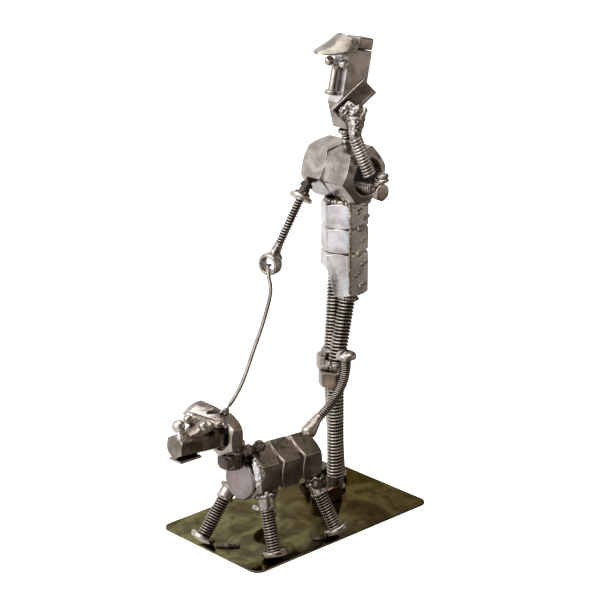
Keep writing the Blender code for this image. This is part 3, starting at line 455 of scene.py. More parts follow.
def bent(points, fine=12):
    """Place function along a smooth curve through the points, and its length."""
    points = [Vector(p) * MM for p in points]
    ends = [points[0] * 2 - points[1]] + points + [points[-1] * 2 - points[-2]]
    path = []
    for a, b, c, d in zip(ends, ends[1:], ends[2:], ends[3:]):
        for i in range(fine):
            t = i / fine
            path.append(0.5 * (2 * b + (c - a) * t + (2 * a - 5 * b + 4 * c - d) * t ** 2
                               + (3 * b - a - 3 * c + d) * t ** 3))
    path.append(points[-1])
    steps = [(q - p).length for p, q in zip(path, path[1:])]
    run = np.concatenate([[0.0], np.cumsum(steps)])
    spots = np.array([p[:] for p in path])

    def at(height):
        return Vector([np.interp(height, run, spots[:, k]) for k in range(3)])

    def place(height):
        axis = at(min(height + MM * 0.7, run[-1])) - at(max(height - MM * 0.7, 0.0))
        return pose(at(height), axis, (0, 1, 0))

    return place, float(run[-1])


def thread(node, guess, pitch, depth, around, look=None):
    """A threaded rod in the place of a node."""
    matrix, length, radius = measure(node, guess)
    rows = threaded_rows(radius, 0, length, pitch)
    return keep(f"{node}_thread", rod(rows, straight(matrix), pitch, depth, around), (node,), look, crease=50)


print("rod maker ready")

# %% [markdown]
# ## The man's legs
#
# Each leg is two lengths of quarter-inch threaded rod with a hex nut between them for a knee. The coarse
# thread has twenty turns to the inch, which is a pitch of 1.27 mm.

# %% Legs
LEG_PITCH = 1.27 * MM
for side in ("left", "right"):
    for bone in ("shin", "thigh"):
        thread(f"man_{side}_{bone}_bolt", UP, LEG_PITCH, 0.66 * MM, 40)
print("leg rod radius:", round(measure("man_left_shin_bolt", UP)[2] / MM, 2), "mm")

# %% [markdown]
# ## Hex nuts
#
# A nut is a six-sided bar whose ends are turned to a cone, which leaves the curved arcs on its flats. It
# was first cut out of a bar with Boolean modifiers, but a nut could come out empty that way.
# So one grid is wrapped round the nut instead. Each column knows how far the hexagon reaches
# at its angle, and the cone starts lower at a corner than in the middle of a flat, so the arcs come by
# themselves. The last rows of the grid run back through the bore and dip along its thread.

# %% Nut maker
OUTSIDE_ROWS = 6
ROWS_PER_TURN = 6


def corner_turn(across, soft):
    """Half the angle that a rounded corner of a hexagon takes up."""
    return math.atan2(soft * math.sin(math.radians(120)),
                      across / math.sqrt(3) + soft * math.cos(math.radians(120)))


def hex_reach(angle, across, soft):
    """How far a hexagon with rounded corners reaches from its centre at an angle from a corner."""
    angle = (angle + math.pi / 6) % (math.pi / 3) - math.pi / 6
    corner = across / math.sqrt(3)
    fillet = soft / math.tan(math.radians(30))
    centre = corner - fillet / math.cos(math.radians(30))
    if abs(angle) < corner_turn(across, soft):
        return centre * math.cos(angle) + math.sqrt(fillet ** 2 - (centre * math.sin(angle)) ** 2)
    return across / 2 / math.cos(math.pi / 6 - abs(angle))


def hex_nut(node, guess, across, face, bore=0.0, pitch=0.0, edge=0.14 * MM, look=None, soft=0.25 * MM,
            meet=0.12 * MM):
    """A nut in the place of a node.

    face is the flat circle left at its ends, the lower end first where they differ. bore and pitch are for
    its hole, soft is how round its corners are, and meet is how much longer than its solid it is at each
    end, so that nuts which are welded together touch.
    """
    matrix, length, _ = measure(node, guess)
    matrix = matrix @ Matrix.Translation((0, 0, -meet))
    length += 2 * meet
    low_face, high_face = face if isinstance(face, tuple) else (face, face)
    slope = math.tan(math.radians(30))
    turn = corner_turn(across, soft)
    angles = []
    for side in range(6):
        corner = side * math.pi / 3
        angles += [corner + turn * share for share in (-1, -1 / 3, 1 / 3, 1)]
        angles += [corner + turn + (math.pi / 3 - 2 * turn) * step / 6 for step in range(1, 6)]
    angles.append(angles[0] + 2 * math.pi)
    mouth = bore / 2 + 0.5 * pitch
    inside_rows = max(4, round(length / (pitch or 2 * MM) * ROWS_PER_TURN)) if bore else 0
    last_row = OUTSIDE_ROWS - 1 + inside_rows
    bm = bmesh.new()
    groove = bm.verts.layers.float.new("groove")
    bmesh.ops.create_grid(bm, x_segments=len(angles) - 1, y_segments=last_row, size=1.0)
    for vert in bm.verts:
        column = round((vert.co.x + 1) / 2 * (len(angles) - 1))
        row = round((vert.co.y + 1) / 2 * last_row)
        angle = angles[column]
        reach = hex_reach(angle, across, soft)
        outside = ((mouth, 0), (low_face / 2, 0), (reach, (reach - low_face / 2) * slope),
                   (reach, length - (reach - high_face / 2) * slope), (high_face / 2, length),
                   (mouth, length))
        if row < OUTSIDE_ROWS:
            radius, height = outside[row]
        else:
            height = length * (1 - (row - OUTSIDE_ROWS + 1) / inside_rows)
            dip = valley(height / (pitch or MM) - column / (len(angles) - 1)) if pitch else 0.0
            inner = min(1.0, min(height, length - height) / (0.4 * MM))
            radius = mouth - 0.5 * pitch * (1 - dip) * inner
            # Painted shade: the whole bore is darkened.
            vert[groove] = 0.85 if 0 < height < length else 0.0
        vert.co = (radius * math.cos(angle), radius * math.sin(angle), height)
    return keep(f"{node}_turned", bm, (node,), look, edge, matrix=matrix)


dress("man_right_knee_nut", 0.22 * MM, DOG)
hex_nut("man_left_knee_nut", UP, 9.5 * MM, 9.5 * 0.94 * MM, edge=0.22 * MM, look=DOG)
# The shoes take the near-black steel as painted shade: the shadow that lies at the foot of the legs.
for side in ("left", "right"):
    hex_nut(f"man_{side}_shoe_nut", UP, 11.1 * MM, 11.1 * 0.94 * MM, edge=0.25 * MM, look=NEAR_BLACK)
print("knees and shoes on")

# %% [markdown]
# ## Trunk and chest
#
# The trunk is three nuts on end, with a corner to the front, so the light side and the dark side
# meet in one edge down the middle. The lowest is ground away at the front and hollowed round the far
# thigh, so it keeps the solid's own shape. The chest is two large nuts side by side.

# %% Trunk and chest nuts
dress("man_hip_nut", 0.3 * MM, TRUNK)
for node in ("man_waist_nut", "man_rib_nut"):
    hex_nut(node, UP, 15.6 * MM, 15.6 * 0.97 * MM, edge=0.28 * MM, look=TRUNK, soft=0.5 * MM)
OUTER_FACE, INNER_FACE = 15.0 * MM, 18.0 * MM
for side, faces in (("left", (OUTER_FACE, INNER_FACE)), ("right", (INNER_FACE, OUTER_FACE))):
    hex_nut(f"man_chest_nut_{side}", (0, 1, 0), 19.05 * MM, faces, 12.4 * MM, 1.5 * MM, 0.4 * MM, CHEST,
            0.6 * MM)

# %% [markdown]
# ## Head, face and cap
#
# The head is one leaning bar with its throat cut back. Two steel balls and a hanging bolt make the face.
# The cap is a block behind and a thin sheet hammered into a dome in front. The sheet is a grid
# pulled to a rounded outline and a ridge, then given its thickness with Solidify.

# %% Head and cap
MAN_Y = 10.1 * MM
BROW_HEIGHT = 0.148
head = dress("man_head_block", 0.3 * MM, HEAD)
# Painted reflection: the front faces above the brow take the lighter steel.
head.data.materials.append(FACE_REFLECTION)
for face in head.data.polygons:
    if face.normal.x < -0.8 and face.center.z > BROW_HEIGHT:
        face.material_index = 1
dress("man_cap_crown", 0.45 * MM, HEAD)
thread("man_neck_stud", UP, MM, 0.5 * MM, 32, ROD)


def ball(node):
    """A polished ball bearing in the place of a small ball node."""
    low, high = (Vector(corner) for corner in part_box(node))
    bm = bmesh.new()
    bmesh.ops.create_uvsphere(bm, u_segments=40, v_segments=24, radius=(high.z - low.z) / 2,
                              matrix=Matrix.Translation((low + high) / 2))
    return keep(f"{node}_bearing", bm, (node,), crease=60)


def thicken(sheet, thickness, side, rim_width):
    """Gives an open sheet its thickness, above it (side 1) or below it (side -1), and rounds its rim."""
    if sheet.data.polygons[0].normal.z < 0:
        sheet.data.flip_normals()
    wall = sheet.modifiers.new("sheet", "SOLIDIFY")
    wall.thickness, wall.offset = thickness, side
    rim = sheet.modifiers.new("rolled_rim", "BEVEL")
    rim.width, rim.segments, rim.limit_method, rim.angle_limit = rim_width, 3, "ANGLE", math.radians(50)


for node in ("man_left_eye_ball", "man_right_eye_ball"):
    ball(node)
matrix, length, _ = measure("man_nose_bolt", Vector((0.21, 0, 0.98)))
SHANK = 1.6 * MM
matrix = Matrix.Translation((0, MAN_Y - matrix.translation.y, 0)) @ matrix
rows = [(2.4 * MM, 0, 0), (2.75 * MM, 0.3 * MM, 0), (2.75 * MM, 1.2 * MM, 0), (2.5 * MM, 1.5 * MM, 0),
        (SHANK, 1.5 * MM, 0), (SHANK, length - 0.3 * MM, 0), (SHANK - 0.3 * MM, length, 0)]
keep("man_nose_bolt_turned", rod(rows, straight(matrix), around=40), ("man_nose_bolt",), NUT, crease=50)

VISOR_LENGTH, VISOR_HALF, VISOR_DOME = 11.6 * MM, 6.2 * MM, 5.5 * MM
visor_low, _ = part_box("man_cap_visor")
visor = bmesh.new()
bmesh.ops.create_grid(visor, x_segments=44, y_segments=44, size=1.0)
for vert in visor.verts:
    along = (vert.co.x + 1) / 2
    outline = math.sqrt(max(0.0, 1 - (1 - along) ** 2.4)) * 0.985 + 0.015
    ridge = VISOR_DOME * (0.22 + 0.78 * along ** 1.8) * math.cos(vert.co.y * math.pi / 2) ** 0.8
    dent = 0.12 * MM * noise.noise(Vector((along * 3, vert.co.y * 2, 4.0))) * (1 - abs(vert.co.y))
    vert.co = Vector((along * VISOR_LENGTH, vert.co.y * VISOR_HALF * outline,
                      ridge * min(1.0, 0.25 + outline) - abs(dent)))
sheet = keep("man_cap_visor_sheet", visor, ("man_cap_visor",), HAMMERED, crease=60,
             matrix=Matrix.Translation((visor_low[0] + 1.5 * MM, MAN_Y, visor_low[2])))
thicken(sheet, 0.8 * MM, 1.0, 0.35 * MM)

# %% [markdown]
# ## Telephone and left arm
#
# The telephone is a short end of channel. A bolt in the chest's bore carries a coil spring as the forearm.
# The spring is a small circle swept by a screw motion, which spin does when it is also given a step
# along the axis for every turn.

# %% Telephone and spring
PHONE_TURN, PHONE_TILT = math.radians(35), math.radians(43.5)
out = Vector((-math.sin(PHONE_TURN), -math.cos(PHONE_TURN), 0))
level = Vector((-out.y, out.x, 0))
low, high = (Vector(corner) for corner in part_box("telephone_channel"))
along = level * math.cos(PHONE_TILT) + UP * math.sin(PHONE_TILT)
phone = pose((low + high) / 2, out, along)
channel = merged("telephone_channel")
groove = channel.verts.layers.float.new("groove")
# Painted shade in the channel's recess: light in its upper half, strong in its lower half near the hand.
for vert in channel.verts:
    spot = phone.inverted() @ vert.co
    inside = abs(spot.x) < 7.2 * MM and abs(spot.y) < 2.9 * MM and spot.z > -1.0 * MM
    vert[groove] = (0.3 if spot.x > 0 else 0.9) if inside else 0.0
keep("telephone_channel_dressed", channel, ("telephone_channel",), edge=0.12 * MM)
hex_nut("man_elbow_nut", (0, -1, 0), 6.0 * MM, 4.8 * MM, edge=0.35 * MM, soft=0.6 * MM)
matrix, length, radius = measure("man_elbow_washer", UP)
foot, step = radius * 0.72, length / 2
keep("man_elbow_washer_turned",
     turned([(0, 0), (foot, 0), (foot, step), (radius - 0.25 * MM, step), (radius, step + 0.25 * MM),
             (radius, length - 0.25 * MM), (radius - 0.25 * MM, length), (0, length)], matrix),
     ("man_elbow_washer",))
thread("man_shoulder_bolt", (0, 1, 0), 0.8 * MM, 0.4 * MM, 28)

SPRING_WIRE = 0.46 * MM
SPRING_PITCH = 1.05 * MM
SPRING_STEPS = 28
matrix, length, radius = measure("man_forearm_spring", (-0.29, 0.21, 0.93))
turns = int((length - 2 * SPRING_WIRE) / SPRING_PITCH)
coil = bmesh.new()
start = bmesh.ops.create_circle(coil, segments=10, radius=SPRING_WIRE,
                                matrix=Matrix.Translation((radius - SPRING_WIRE, 0, SPRING_WIRE))
                                @ Matrix.Rotation(math.pi / 2, 4, "X"))["verts"]
rise = (length - 2 * SPRING_WIRE) / (turns * SPRING_STEPS)
bmesh.ops.spin(coil, geom=start + coil.edges[:], cent=(0, 0, 0), axis=(0, 0, 1), angle=2 * math.pi * turns,
               steps=SPRING_STEPS * turns, dvec=(0, 0, rise))
bmesh.ops.holes_fill(coil, edges=[edge for edge in coil.edges if edge.is_boundary], sides=0)
groove = coil.verts.layers.float.new("groove")
# Painted shade on the inside of the coil, on the side of the wire that faces its axis.
for vert in coil.verts:
    vert[groove] = min(1.0, max(0.0, (radius - 0.35 * MM - math.hypot(vert.co.x, vert.co.y)) / (0.25 * MM)))
keep("man_forearm_spring_coil", coil, ("man_forearm_spring",), matrix=matrix, crease=60)
print("spring turns:", turns)

# %% [markdown]
# ## Right arm and lead
#
# The right arm is a flanged bolt that hangs forward under the shoulder, with a plain round nut for the
# fist. The lead is a stiff welded wire with soft bends, not a loose cord, so it is a rigid rod on a line.

# %% Right arm and lead
ARM_DOWN = Vector((-0.574, 0, -0.819))
ARM_PITCH = 1.03 * MM
matrix, length, _ = measure("man_right_arm_bolt", ARM_DOWN)
flange, shank = 4.35 * MM, 1.7 * MM
rows = [(flange - 0.5 * MM, 0, 0), (flange, 0.4 * MM, 0), (flange, 1.3 * MM, 0),
        (flange - 0.2 * MM, 1.5 * MM, 0), (shank, 1.5 * MM, 0)]
rows += threaded_rows(shank, 1.8 * MM, length, ARM_PITCH, 0.5 * MM)
keep("man_right_arm_bolt_thread", rod(rows, straight(matrix), ARM_PITCH, 0.5 * MM, 32),
     ("man_right_arm_bolt",), crease=50)
matrix, length, _ = measure("man_right_shoulder_cone", ARM_DOWN)
keep("man_right_shoulder_cone_turned",
     turned([(0, 0), (1.0 * MM, 0), (1.2 * MM, 0.2 * MM), (2.2 * MM, length - 0.3 * MM), (2.2 * MM, length),
             (0, length)], matrix), ("man_right_shoulder_cone",), NEAR_BLACK, crease=50)
matrix, length, radius = measure("man_right_fist_nut", (-0.97, -0.22, 0))
inner, soft = 2.75 * MM, 0.8 * MM
corners = []
for radial, level, start in ((radius - soft, soft, -90), (radius - soft, length - soft, 0),
                             (inner + soft * 0.5, length - soft * 0.5, 90),
                             (inner + soft * 0.5, soft * 0.5, 180)):
    size = soft if start in (-90, 0) else soft * 0.5
    corners += [(radial + size * math.cos(math.radians(start + 18 * i)),
                 level + size * math.sin(math.radians(start + 18 * i))) for i in range(6)]
keep("man_right_fist_nut_turned", turned(corners, matrix), ("man_right_fist_nut",), crease=60)

LEAD_RADIUS = 0.725 * MM
LEAD_ROUTE = ((4.4, 17.7, 90.2), (1.6, 16.7, 90.3), (0.0, 14.6, 88.2), (-2.1, 11.2, 83.0),
              (-9.6, 6.6, 75.4), (-18.7, 1.9, 67.9), (-27.5, -2.7, 60.9), (-34.6, -5.9, 57.0),
              (-38.9, -7.0, 54.6))
place, length = bent(LEAD_ROUTE)
count = 120
rows = [(LEAD_RADIUS * min(1.0, 0.35 + 4 * min(i, count - i) / count * 5), length * i / count, 0.0)
        for i in range(count + 1)]
keep("lead_wire_drawn", rod(rows, place, MM, 0.0, 24), ("lead_wire",), LEAD, crease=60)
print("lead length:", round(length / MM), "mm")

# %% [markdown]
# ## The dog
#
# Three nuts make the trunk and four domed bolts the legs, heads down as paws. The legs have a finer
# thread than the man's.

# %% Dog trunk and legs
for part in ("rear", "middle", "front"):
    hex_nut(f"dog_{part}_body_nut", (1, 0, -0.08), 17.5 * MM, 17.5 * 0.88 * MM, 8.2 * MM, 1.25 * MM,
            0.22 * MM, DOG, 0.4 * MM)
matrix, length, radius = measure("dog_chest_disc", (1, 0, -0.08))
keep("dog_chest_disc_turned",
     turned([(0, 0), (radius - 1.0 * MM, 0), (radius - 0.4 * MM, 0.2 * MM), (radius, 0.7 * MM),
             (radius, length - 0.5 * MM), (radius - 0.4 * MM, length), (0, length)], matrix),
     ("dog_chest_disc",), BLUSH)
LEG_TURN = 0.97 * MM
for end in ("front", "rear"):
    for side in ("left", "right"):
        node = f"dog_{end}_{side}_leg_bolt"
        matrix, length, radius = measure(node, UP)
        rows = [(radius * t, 0.9 * MM * t ** 2.2, 0) for t in (0.02, 0.3, 0.5, 0.7, 0.85, 0.95)]
        rows += [(radius, 1.15 * MM, 0), (radius, 2.2 * MM, 0), (radius - 0.2 * MM, 2.5 * MM, 0),
                 (radius - 0.6 * MM, 2.6 * MM, 0), (2.6 * MM, 2.6 * MM, 0)]
        rows += threaded_rows(2.55 * MM, 2.7 * MM, length, LEG_TURN)
        keep(f"{node}_thread", rod(rows, straight(matrix), LEG_TURN, 0.52 * MM, 36), (node,), LEG, crease=50)
        node = f"dog_{end}_{side}_hip_collar"
        matrix, length, radius = measure(node, UP)
        collar = [(0, 0), (radius - 0.25 * MM, 0), (radius, 0.25 * MM), (radius, length - 0.25 * MM),
                  (radius - 0.25 * MM, length), (0, length)]
        keep(f"{node}_turned", turned(collar, matrix), (node,))
print("dog legs threaded at", LEG_TURN / MM, "mm")

# %% [markdown]
# ## The dog's head and tail
#
# The head is a wide nut with a hex bar through it as the muzzle. One thin sheet, bent over the top and
# wider at its ends, makes both ears. The tail is a bent screw, and its pan head is one wrapped grid with
# a straight row along each edge of the slot.

# %% Dog head and tail
hex_nut("dog_skull_nut", (1, 0, -0.1), 13.0 * MM, 13.0 * 0.9 * MM, 10.0 * MM, 0.0, 0.22 * MM, NUT, 0.35 * MM)
hex_nut("dog_neck_nut", UP, 8.4 * MM, 8.4 * 0.92 * MM, look=NEAR_BLACK)
dress("dog_muzzle_bar", 0.35 * MM, DOG)
keep("dog_jaw_plate_dressed", merged("dog_jaw_plate"), ("dog_jaw_plate",), NUT, 0.14 * MM,
     matrix=Matrix.Translation((0.5 * MM, -0.3 * MM, 0.75 * MM)))
for node in ("dog_nose_ball", "dog_left_eye_ball", "dog_right_eye_ball"):
    ball(node)

EAR_STATIONS = (0.0, 0.2, 0.4, 0.6, 0.72, 0.86, 1.0)
EAR_FRONT = (-45.4, -46.8, -48.6, -50.4, -51.2, -51.2, -50.6)
EAR_REAR = (-42.8, -41.4, -40.0, -41.0, -42.6, -44.0, -46.6)
FRONT_RISE = (52.0, 53.6, 54.3, 55.0, 55.4, 54.9, 52.8)
REAR_RISE = (50.4, 52.4, 54.0, 55.0, 56.2, 57.0, 54.2)
near_y, far_y = -12.4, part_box("dog_ear_plate")[1][1] / MM
plate = bmesh.new()
bmesh.ops.create_grid(plate, x_segments=40, y_segments=64, size=1.0)
for vert in plate.verts:
    across, along = (vert.co.x + 1) / 2, (vert.co.y + 1) / 2
    front, rear, front_z, rear_z = (float(np.interp(along, EAR_STATIONS, row))
                                    for row in (EAR_FRONT, EAR_REAR, FRONT_RISE, REAR_RISE))
    swell = 0.7 * math.sin(math.pi * across) + 0.16 * noise.noise(Vector((across * 3, along * 6, 2.0)))
    vert.co = Vector((front + (rear - front) * across, near_y + (far_y - near_y) * along,
                      front_z + (rear_z - front_z) * across + swell)) * MM
for _ in range(6):
    bmesh.ops.smooth_vert(plate, verts=plate.verts, factor=0.5, use_axis_x=True, use_axis_y=True,
                          use_axis_z=True)
thicken(keep("dog_ear_plate_sheet", plate, ("dog_ear_plate",), CHEST, crease=60), 1.3 * MM, -1.0, 0.4 * MM)

TAIL_PITCH = 0.79 * MM
TAIL_ROUTE = ((-0.6, -7.4, 37.7), (2.4, -7.5, 38.8), (6.4, -7.7, 41.2), (11.6, -7.9, 45.0),
              (15.2, -8.0, 49.6), (16.6, -8.0, 54.4), (16.6, -8.0, 58.6))
place, tail_length = bent(TAIL_ROUTE)
rows = threaded_rows(1.7 * MM, 0, tail_length, TAIL_PITCH)
keep("dog_tail_screw_thread", rod(rows, place, TAIL_PITCH, 0.42 * MM, 28), ("dog_tail_screw",), crease=50)
PAN_HEIGHT, PAN_EDGE, SLOT_HALF, SLOT_FLOOR = 2.9 * MM, 0.2 * MM, 0.4 * MM, 2.0 * MM
radius = measure("dog_tail_head", -UP)[2]
low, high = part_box("dog_tail_head")
matrix = pose(((low[0] + high[0]) / 2, (low[1] + high[1]) / 2, low[2]), UP, FRONT)
rows = [radius * math.sin(math.radians(turn)) for turn in range(-90, 91, 6)]
rows = sorted([y for y in rows if abs(y) > 0.5 * MM]
              + [side * y * MM for side in (-1, 1) for y in (0.15, 0.38, 0.45)])
around = [("top", math.cos(math.radians(turn))) for turn in range(0, 181, 10)] + [("wall", -1.0)]
around += [("base", -math.cos(math.radians(turn))) for turn in range(0, 181, 30)]
around += [("wall", 1.0), ("top", 1.0)]
pan = bmesh.new()
bmesh.ops.create_grid(pan, x_segments=len(around) - 1, y_segments=len(rows) - 1, size=1.0)
for vert in pan.verts:
    part, share = around[round((vert.co.x + 1) / 2 * (len(around) - 1))]
    y = rows[round((vert.co.y + 1) / 2 * (len(rows) - 1))]
    x = share * math.sqrt(max(0.0, radius ** 2 - y ** 2))
    if part == "top":
        rise = math.sqrt(max(0.0, 1 - (x * x + y * y) / radius ** 2))
        z = PAN_HEIGHT * (0.35 + 0.65 * rise)
        vert.co = (x, y, min(z, SLOT_FLOOR) if abs(y) < SLOT_HALF else z)
    elif part == "wall":
        vert.co = (x, y, PAN_EDGE)
    else:
        inset = 1 - PAN_EDGE / radius
        vert.co = (x * inset, y * inset, 0)
keep("dog_tail_head_pan", pan, ("dog_tail_head",), edge=0.1 * MM, matrix=matrix)
print("tail length:", round(tail_length / MM, 1), "mm")

# %% [markdown]
# ## Weld metal
#
# Every joint has a lump or a rippled seam of weld. A bead is a row of overlapping drops, so each seam is a
# row of small balls fused by a voxel Remesh, then roughened with noise. That gives the soft, drooping
# ripples that a smooth tube can't.

# %% Weld maker
def weld(name, drops, nodes=(), seed=0, grain=0.16 * MM, rough=0.13 * MM, look=None, wave=900.0):
    """Fuses drops (point, radius) in metres into lumps of weld.

    grain is the voxel size, rough and wave are the height and the closeness of the bumps.
    """
    bm = bmesh.new()
    for point, radius in drops:
        bmesh.ops.create_icosphere(bm, subdivisions=2, radius=radius, matrix=Matrix.Translation(point))
    mesh = bpy.data.meshes.new("drops")
    bm.to_mesh(mesh)
    bm.free()
    blob = bpy.data.objects.new("drops", mesh)
    bpy.context.scene.collection.objects.link(blob)
    fuse = blob.modifiers.new("fuse", "REMESH")
    fuse.mode = "VOXEL"
    fuse.voxel_size = grain
    seen = blob.evaluated_get(bpy.context.evaluated_depsgraph_get())
    bm = bmesh.new()
    bm.from_mesh(seen.to_mesh())
    bpy.data.objects.remove(blob)
    for _ in range(3):
        bmesh.ops.smooth_vert(bm, verts=bm.verts, factor=0.5, use_axis_x=True, use_axis_y=True,
                              use_axis_z=True)
    bm.normal_update()
    for vert in bm.verts:
        here = vert.co * wave + Vector((seed * 7.3, 0, 0))
        vert.co += vert.normal * rough * (noise.noise(here) + 0.5 * noise.noise(here * 2.7))
    return keep(name, bm, nodes, look, slot="weld_steel", crease=75)


def seam(matrix, radius, height, size, seed, start=0.0, share=1.0, ripple=0.25):
    """Drops along part of a circle round +Z of a matrix."""
    count = max(3, round(2 * math.pi * radius * share / (size * 0.55)))
    drops = []
    for i in range(count):
        turn = 2 * math.pi * (start + share * i / count)
        wobble = noise.noise(Vector((i * 0.9, seed * 3.1, 0.5)))
        reach = radius + wobble * size * 0.3
        point = Vector((reach * math.cos(turn), reach * math.sin(turn), height + wobble * size * 0.3))
        drops.append((matrix @ point, size * (1 + ripple * wobble * 1.6)))
    return drops


def line(points, sizes, close=0.6, origin=(0, 0, 0)):
    """Drops along a line of points, in millimetres from an origin, with their radii."""
    points = [Vector(origin) + Vector(point) for point in points]
    drops = []
    for (a, ra), (b, rb) in zip(zip(points, sizes), zip(points[1:], sizes[1:])):
        a, b = a * MM, b * MM
        count = max(1, int((b - a).length / (min(ra, rb) * MM * close)))
        drops += [(a.lerp(b, i / count), (ra + (rb - ra) * i / count) * MM) for i in range(count + 1)]
    return drops


def corners_of(node):
    """The low and the high corner of a node's box, in millimetres."""
    return tuple(Vector(corner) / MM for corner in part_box(node))


def middle_of(node):
    """The middle of a node's box, in millimetres."""
    low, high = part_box(node)
    return (Vector(low) + Vector(high)) / 2 / MM


print("weld maker ready")

# %% [markdown]
# ## Welds on the man
#
# Seams run round the ends of the rods, where a ring of drops follows the measured radius. Most lumps and
# short runs are placed from the boxes or centre lines of the pieces that they join. The rest are given in
# millimetres.

# %% Welds on the man
man_drops = []
for index, side in enumerate(("left", "right")):
    matrix, length, radius = measure(f"man_{side}_shin_bolt", UP)
    man_drops += seam(matrix, radius, 0.5 * MM, 0.85 * MM, index, 0.1, 0.8)
    man_drops += seam(matrix, radius, length - 0.4 * MM, 0.75 * MM, index + 2)
    matrix, length, radius = measure(f"man_{side}_thigh_bolt", UP)
    man_drops += seam(matrix, radius, 0.5 * MM, 0.95 * MM, index + 4)
matrix, length, radius = measure("man_left_thigh_bolt", UP)
man_drops += seam(matrix, radius, length - 0.3 * MM, 0.8 * MM, 6)
knee_low, knee_high = corners_of("man_left_knee_nut")
far_low, far_high = corners_of("man_right_knee_nut")
man_drops += line([(knee_low.x + 2.6, knee_high.y - 2.2, knee_high.z + 0.6),
                   (knee_low.x + 3.4, knee_high.y - 4.6, knee_high.z + 1.4),
                   (knee_low.x + 5.4, knee_low.y + 1.6, knee_high.z + 0.4)], [1.2, 1.5, 1.0])
man_drops += line([(far_low.x + 2.4, far_low.y + 1.0, far_high.z + 0.4),
                   (far_low.x + 3.4, far_low.y + 2.2, far_high.z + 1.2)], [1.1, 1.3])
weld("man_leg_welds", man_drops, seed=1, rough=0.2 * MM)

side_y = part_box("man_waist_nut")[0][1] / MM
lumps = []
for x, z, size in ((34.6, 79.6, 1.2), (32.4, 83.8, 1.0), (35.4, 87.6, 1.1), (33.2, 92.0, 1.4),
                   (35.6, 96.4, 0.9), (33.8, 101.2, 1.4), (36.4, 104.6, 1.0), (33.0, 107.4, 1.1),
                   (36.8, 110.2, 1.3), (31.2, 110.3, 1.2)):
    lumps += line([(x - 0.8, side_y + 0.25, z - 0.3), (x + 0.9, side_y + 0.3, z + 0.4)],
                  [size * 0.95, size * 0.85])
edge_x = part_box("man_waist_nut")[0][0] / MM + 4.5
heights = np.linspace(77.5, 110.5, 14)
corner_run = [(edge_x + 0.5 * noise.noise(Vector((0, 0, z * 0.31))), side_y + 0.35, z) for z in heights]
lumps += line(corner_run, [0.55 + 0.35 * abs(noise.noise(Vector((3, 0, z * 0.47)))) for z in heights])
lumps += line([(edge_x + 1.5, side_y + 0.2, 111.0), (edge_x + 5.0, side_y - 0.2, 111.6),
               (edge_x + 8.6, side_y + 0.4, 111.0)], [0.9, 1.1, 1.0])
weld("man_trunk_welds", lumps, seed=14, rough=0.22 * MM, look=NUT)
weld("man_brow_weld", line([(28.6, 7.4, 164.0), (28.2, 10.0, 164.6), (28.6, 12.8, 164.0)], [1.3, 1.6, 1.3]),
     seed=23, look=TRUNK)

matrix, length, radius = measure("man_chest_weld", UP)
flat = pose(matrix @ Vector((0, 0, length / 2)), UP, FRONT)
weld("man_chest_weld_seam", seam(flat, radius + 0.5 * MM, 0, 0.75 * MM, 8)
     + [(flat @ Vector((0, 0, 0)), 0.8 * MM)], ("man_chest_weld",), seed=2)
matrix, length, radius = measure("man_neck_stud", UP)
weld("man_neck_welds", seam(matrix, radius, 0.3 * MM, 0.8 * MM, 9)
     + seam(matrix, radius, length, 0.75 * MM, 10), seed=3)

matrix, length, _ = measure("man_forearm_spring", (-0.29, 0.21, 0.93))
wrist = matrix @ Vector((0, 0, length - 0.2 * MM)) / MM
palm = {spot: phone @ (Vector(point) * MM) / MM for spot, point in (
    ("heel", (-3.8, -3.8, 1.8)), ("middle", (-1.3, -2.6, 1.9)), ("side", (0.3, -4.9, 1.0)),
    ("thumb", (-5.0, 0.3, 1.2)), ("corner", (-6.6, -0.9, 1.0)), ("top", (-2.2, 0.8, 1.1)))}
hand = line([wrist, (wrist + palm["heel"]) / 2 + Vector((0.3, -0.3, 0.2)), palm["heel"]], [2.0, 2.4, 2.6])
hand += line([wrist, palm["side"]], [1.9, 1.3]) + line([palm["heel"], palm["middle"]], [2.3, 2.1])
hand += line([palm["heel"], palm["thumb"]], [2.1, 1.8]) + line([palm["thumb"], palm["corner"]], [1.7, 1.2])
hand += line([palm["middle"], palm["top"]], [1.8, 1.4]) + line([palm["thumb"], palm["top"]], [1.6, 1.4])
weld("man_left_hand_weld", hand, ("man_left_hand",), seed=4, rough=0.42 * MM, wave=420.0)
matrix, _, radius = measure("man_elbow_washer", UP)
elbow = seam(matrix, radius * 0.8, 0.4 * MM, 0.7 * MM, 11)
knuckle = middle_of("man_elbow_nut")
elbow += line([knuckle + Vector((-0.6, 0.4, 2.6)), matrix @ Vector((0, 0, 0)) / MM], [1.6, 1.3])
elbow += line([(-2.2, 0.8, 1.8), (-4.6, 0.6, 3.4), (-4.4, 0.8, 1.0), (-2.4, 1.0, 0.0)],
              [0.55, 0.5, 0.5, 0.5], origin=knuckle)
weld("man_elbow_welds", elbow, seed=5)
crown_low, crown_high = corners_of("man_cap_crown")
man_y = MAN_Y / MM
weld("man_cap_welds", line([(crown_low.x - 2.6, man_y - 2.6, crown_high.z - 1.0),
                            (crown_low.x - 1.0, man_y - 3.0, crown_high.z - 2.4),
                            (crown_low.x - 1.8, man_y - 3.2, crown_low.z + 0.8)], [1.1, 1.2, 0.9])
     + line([(crown_low.x - 2.4, man_y - 2.0, crown_high.z - 0.6),
             (crown_low.x - 2.2, man_y + 2.4, crown_high.z - 0.8)], [1.0, 1.0]), seed=17, rough=0.25 * MM)

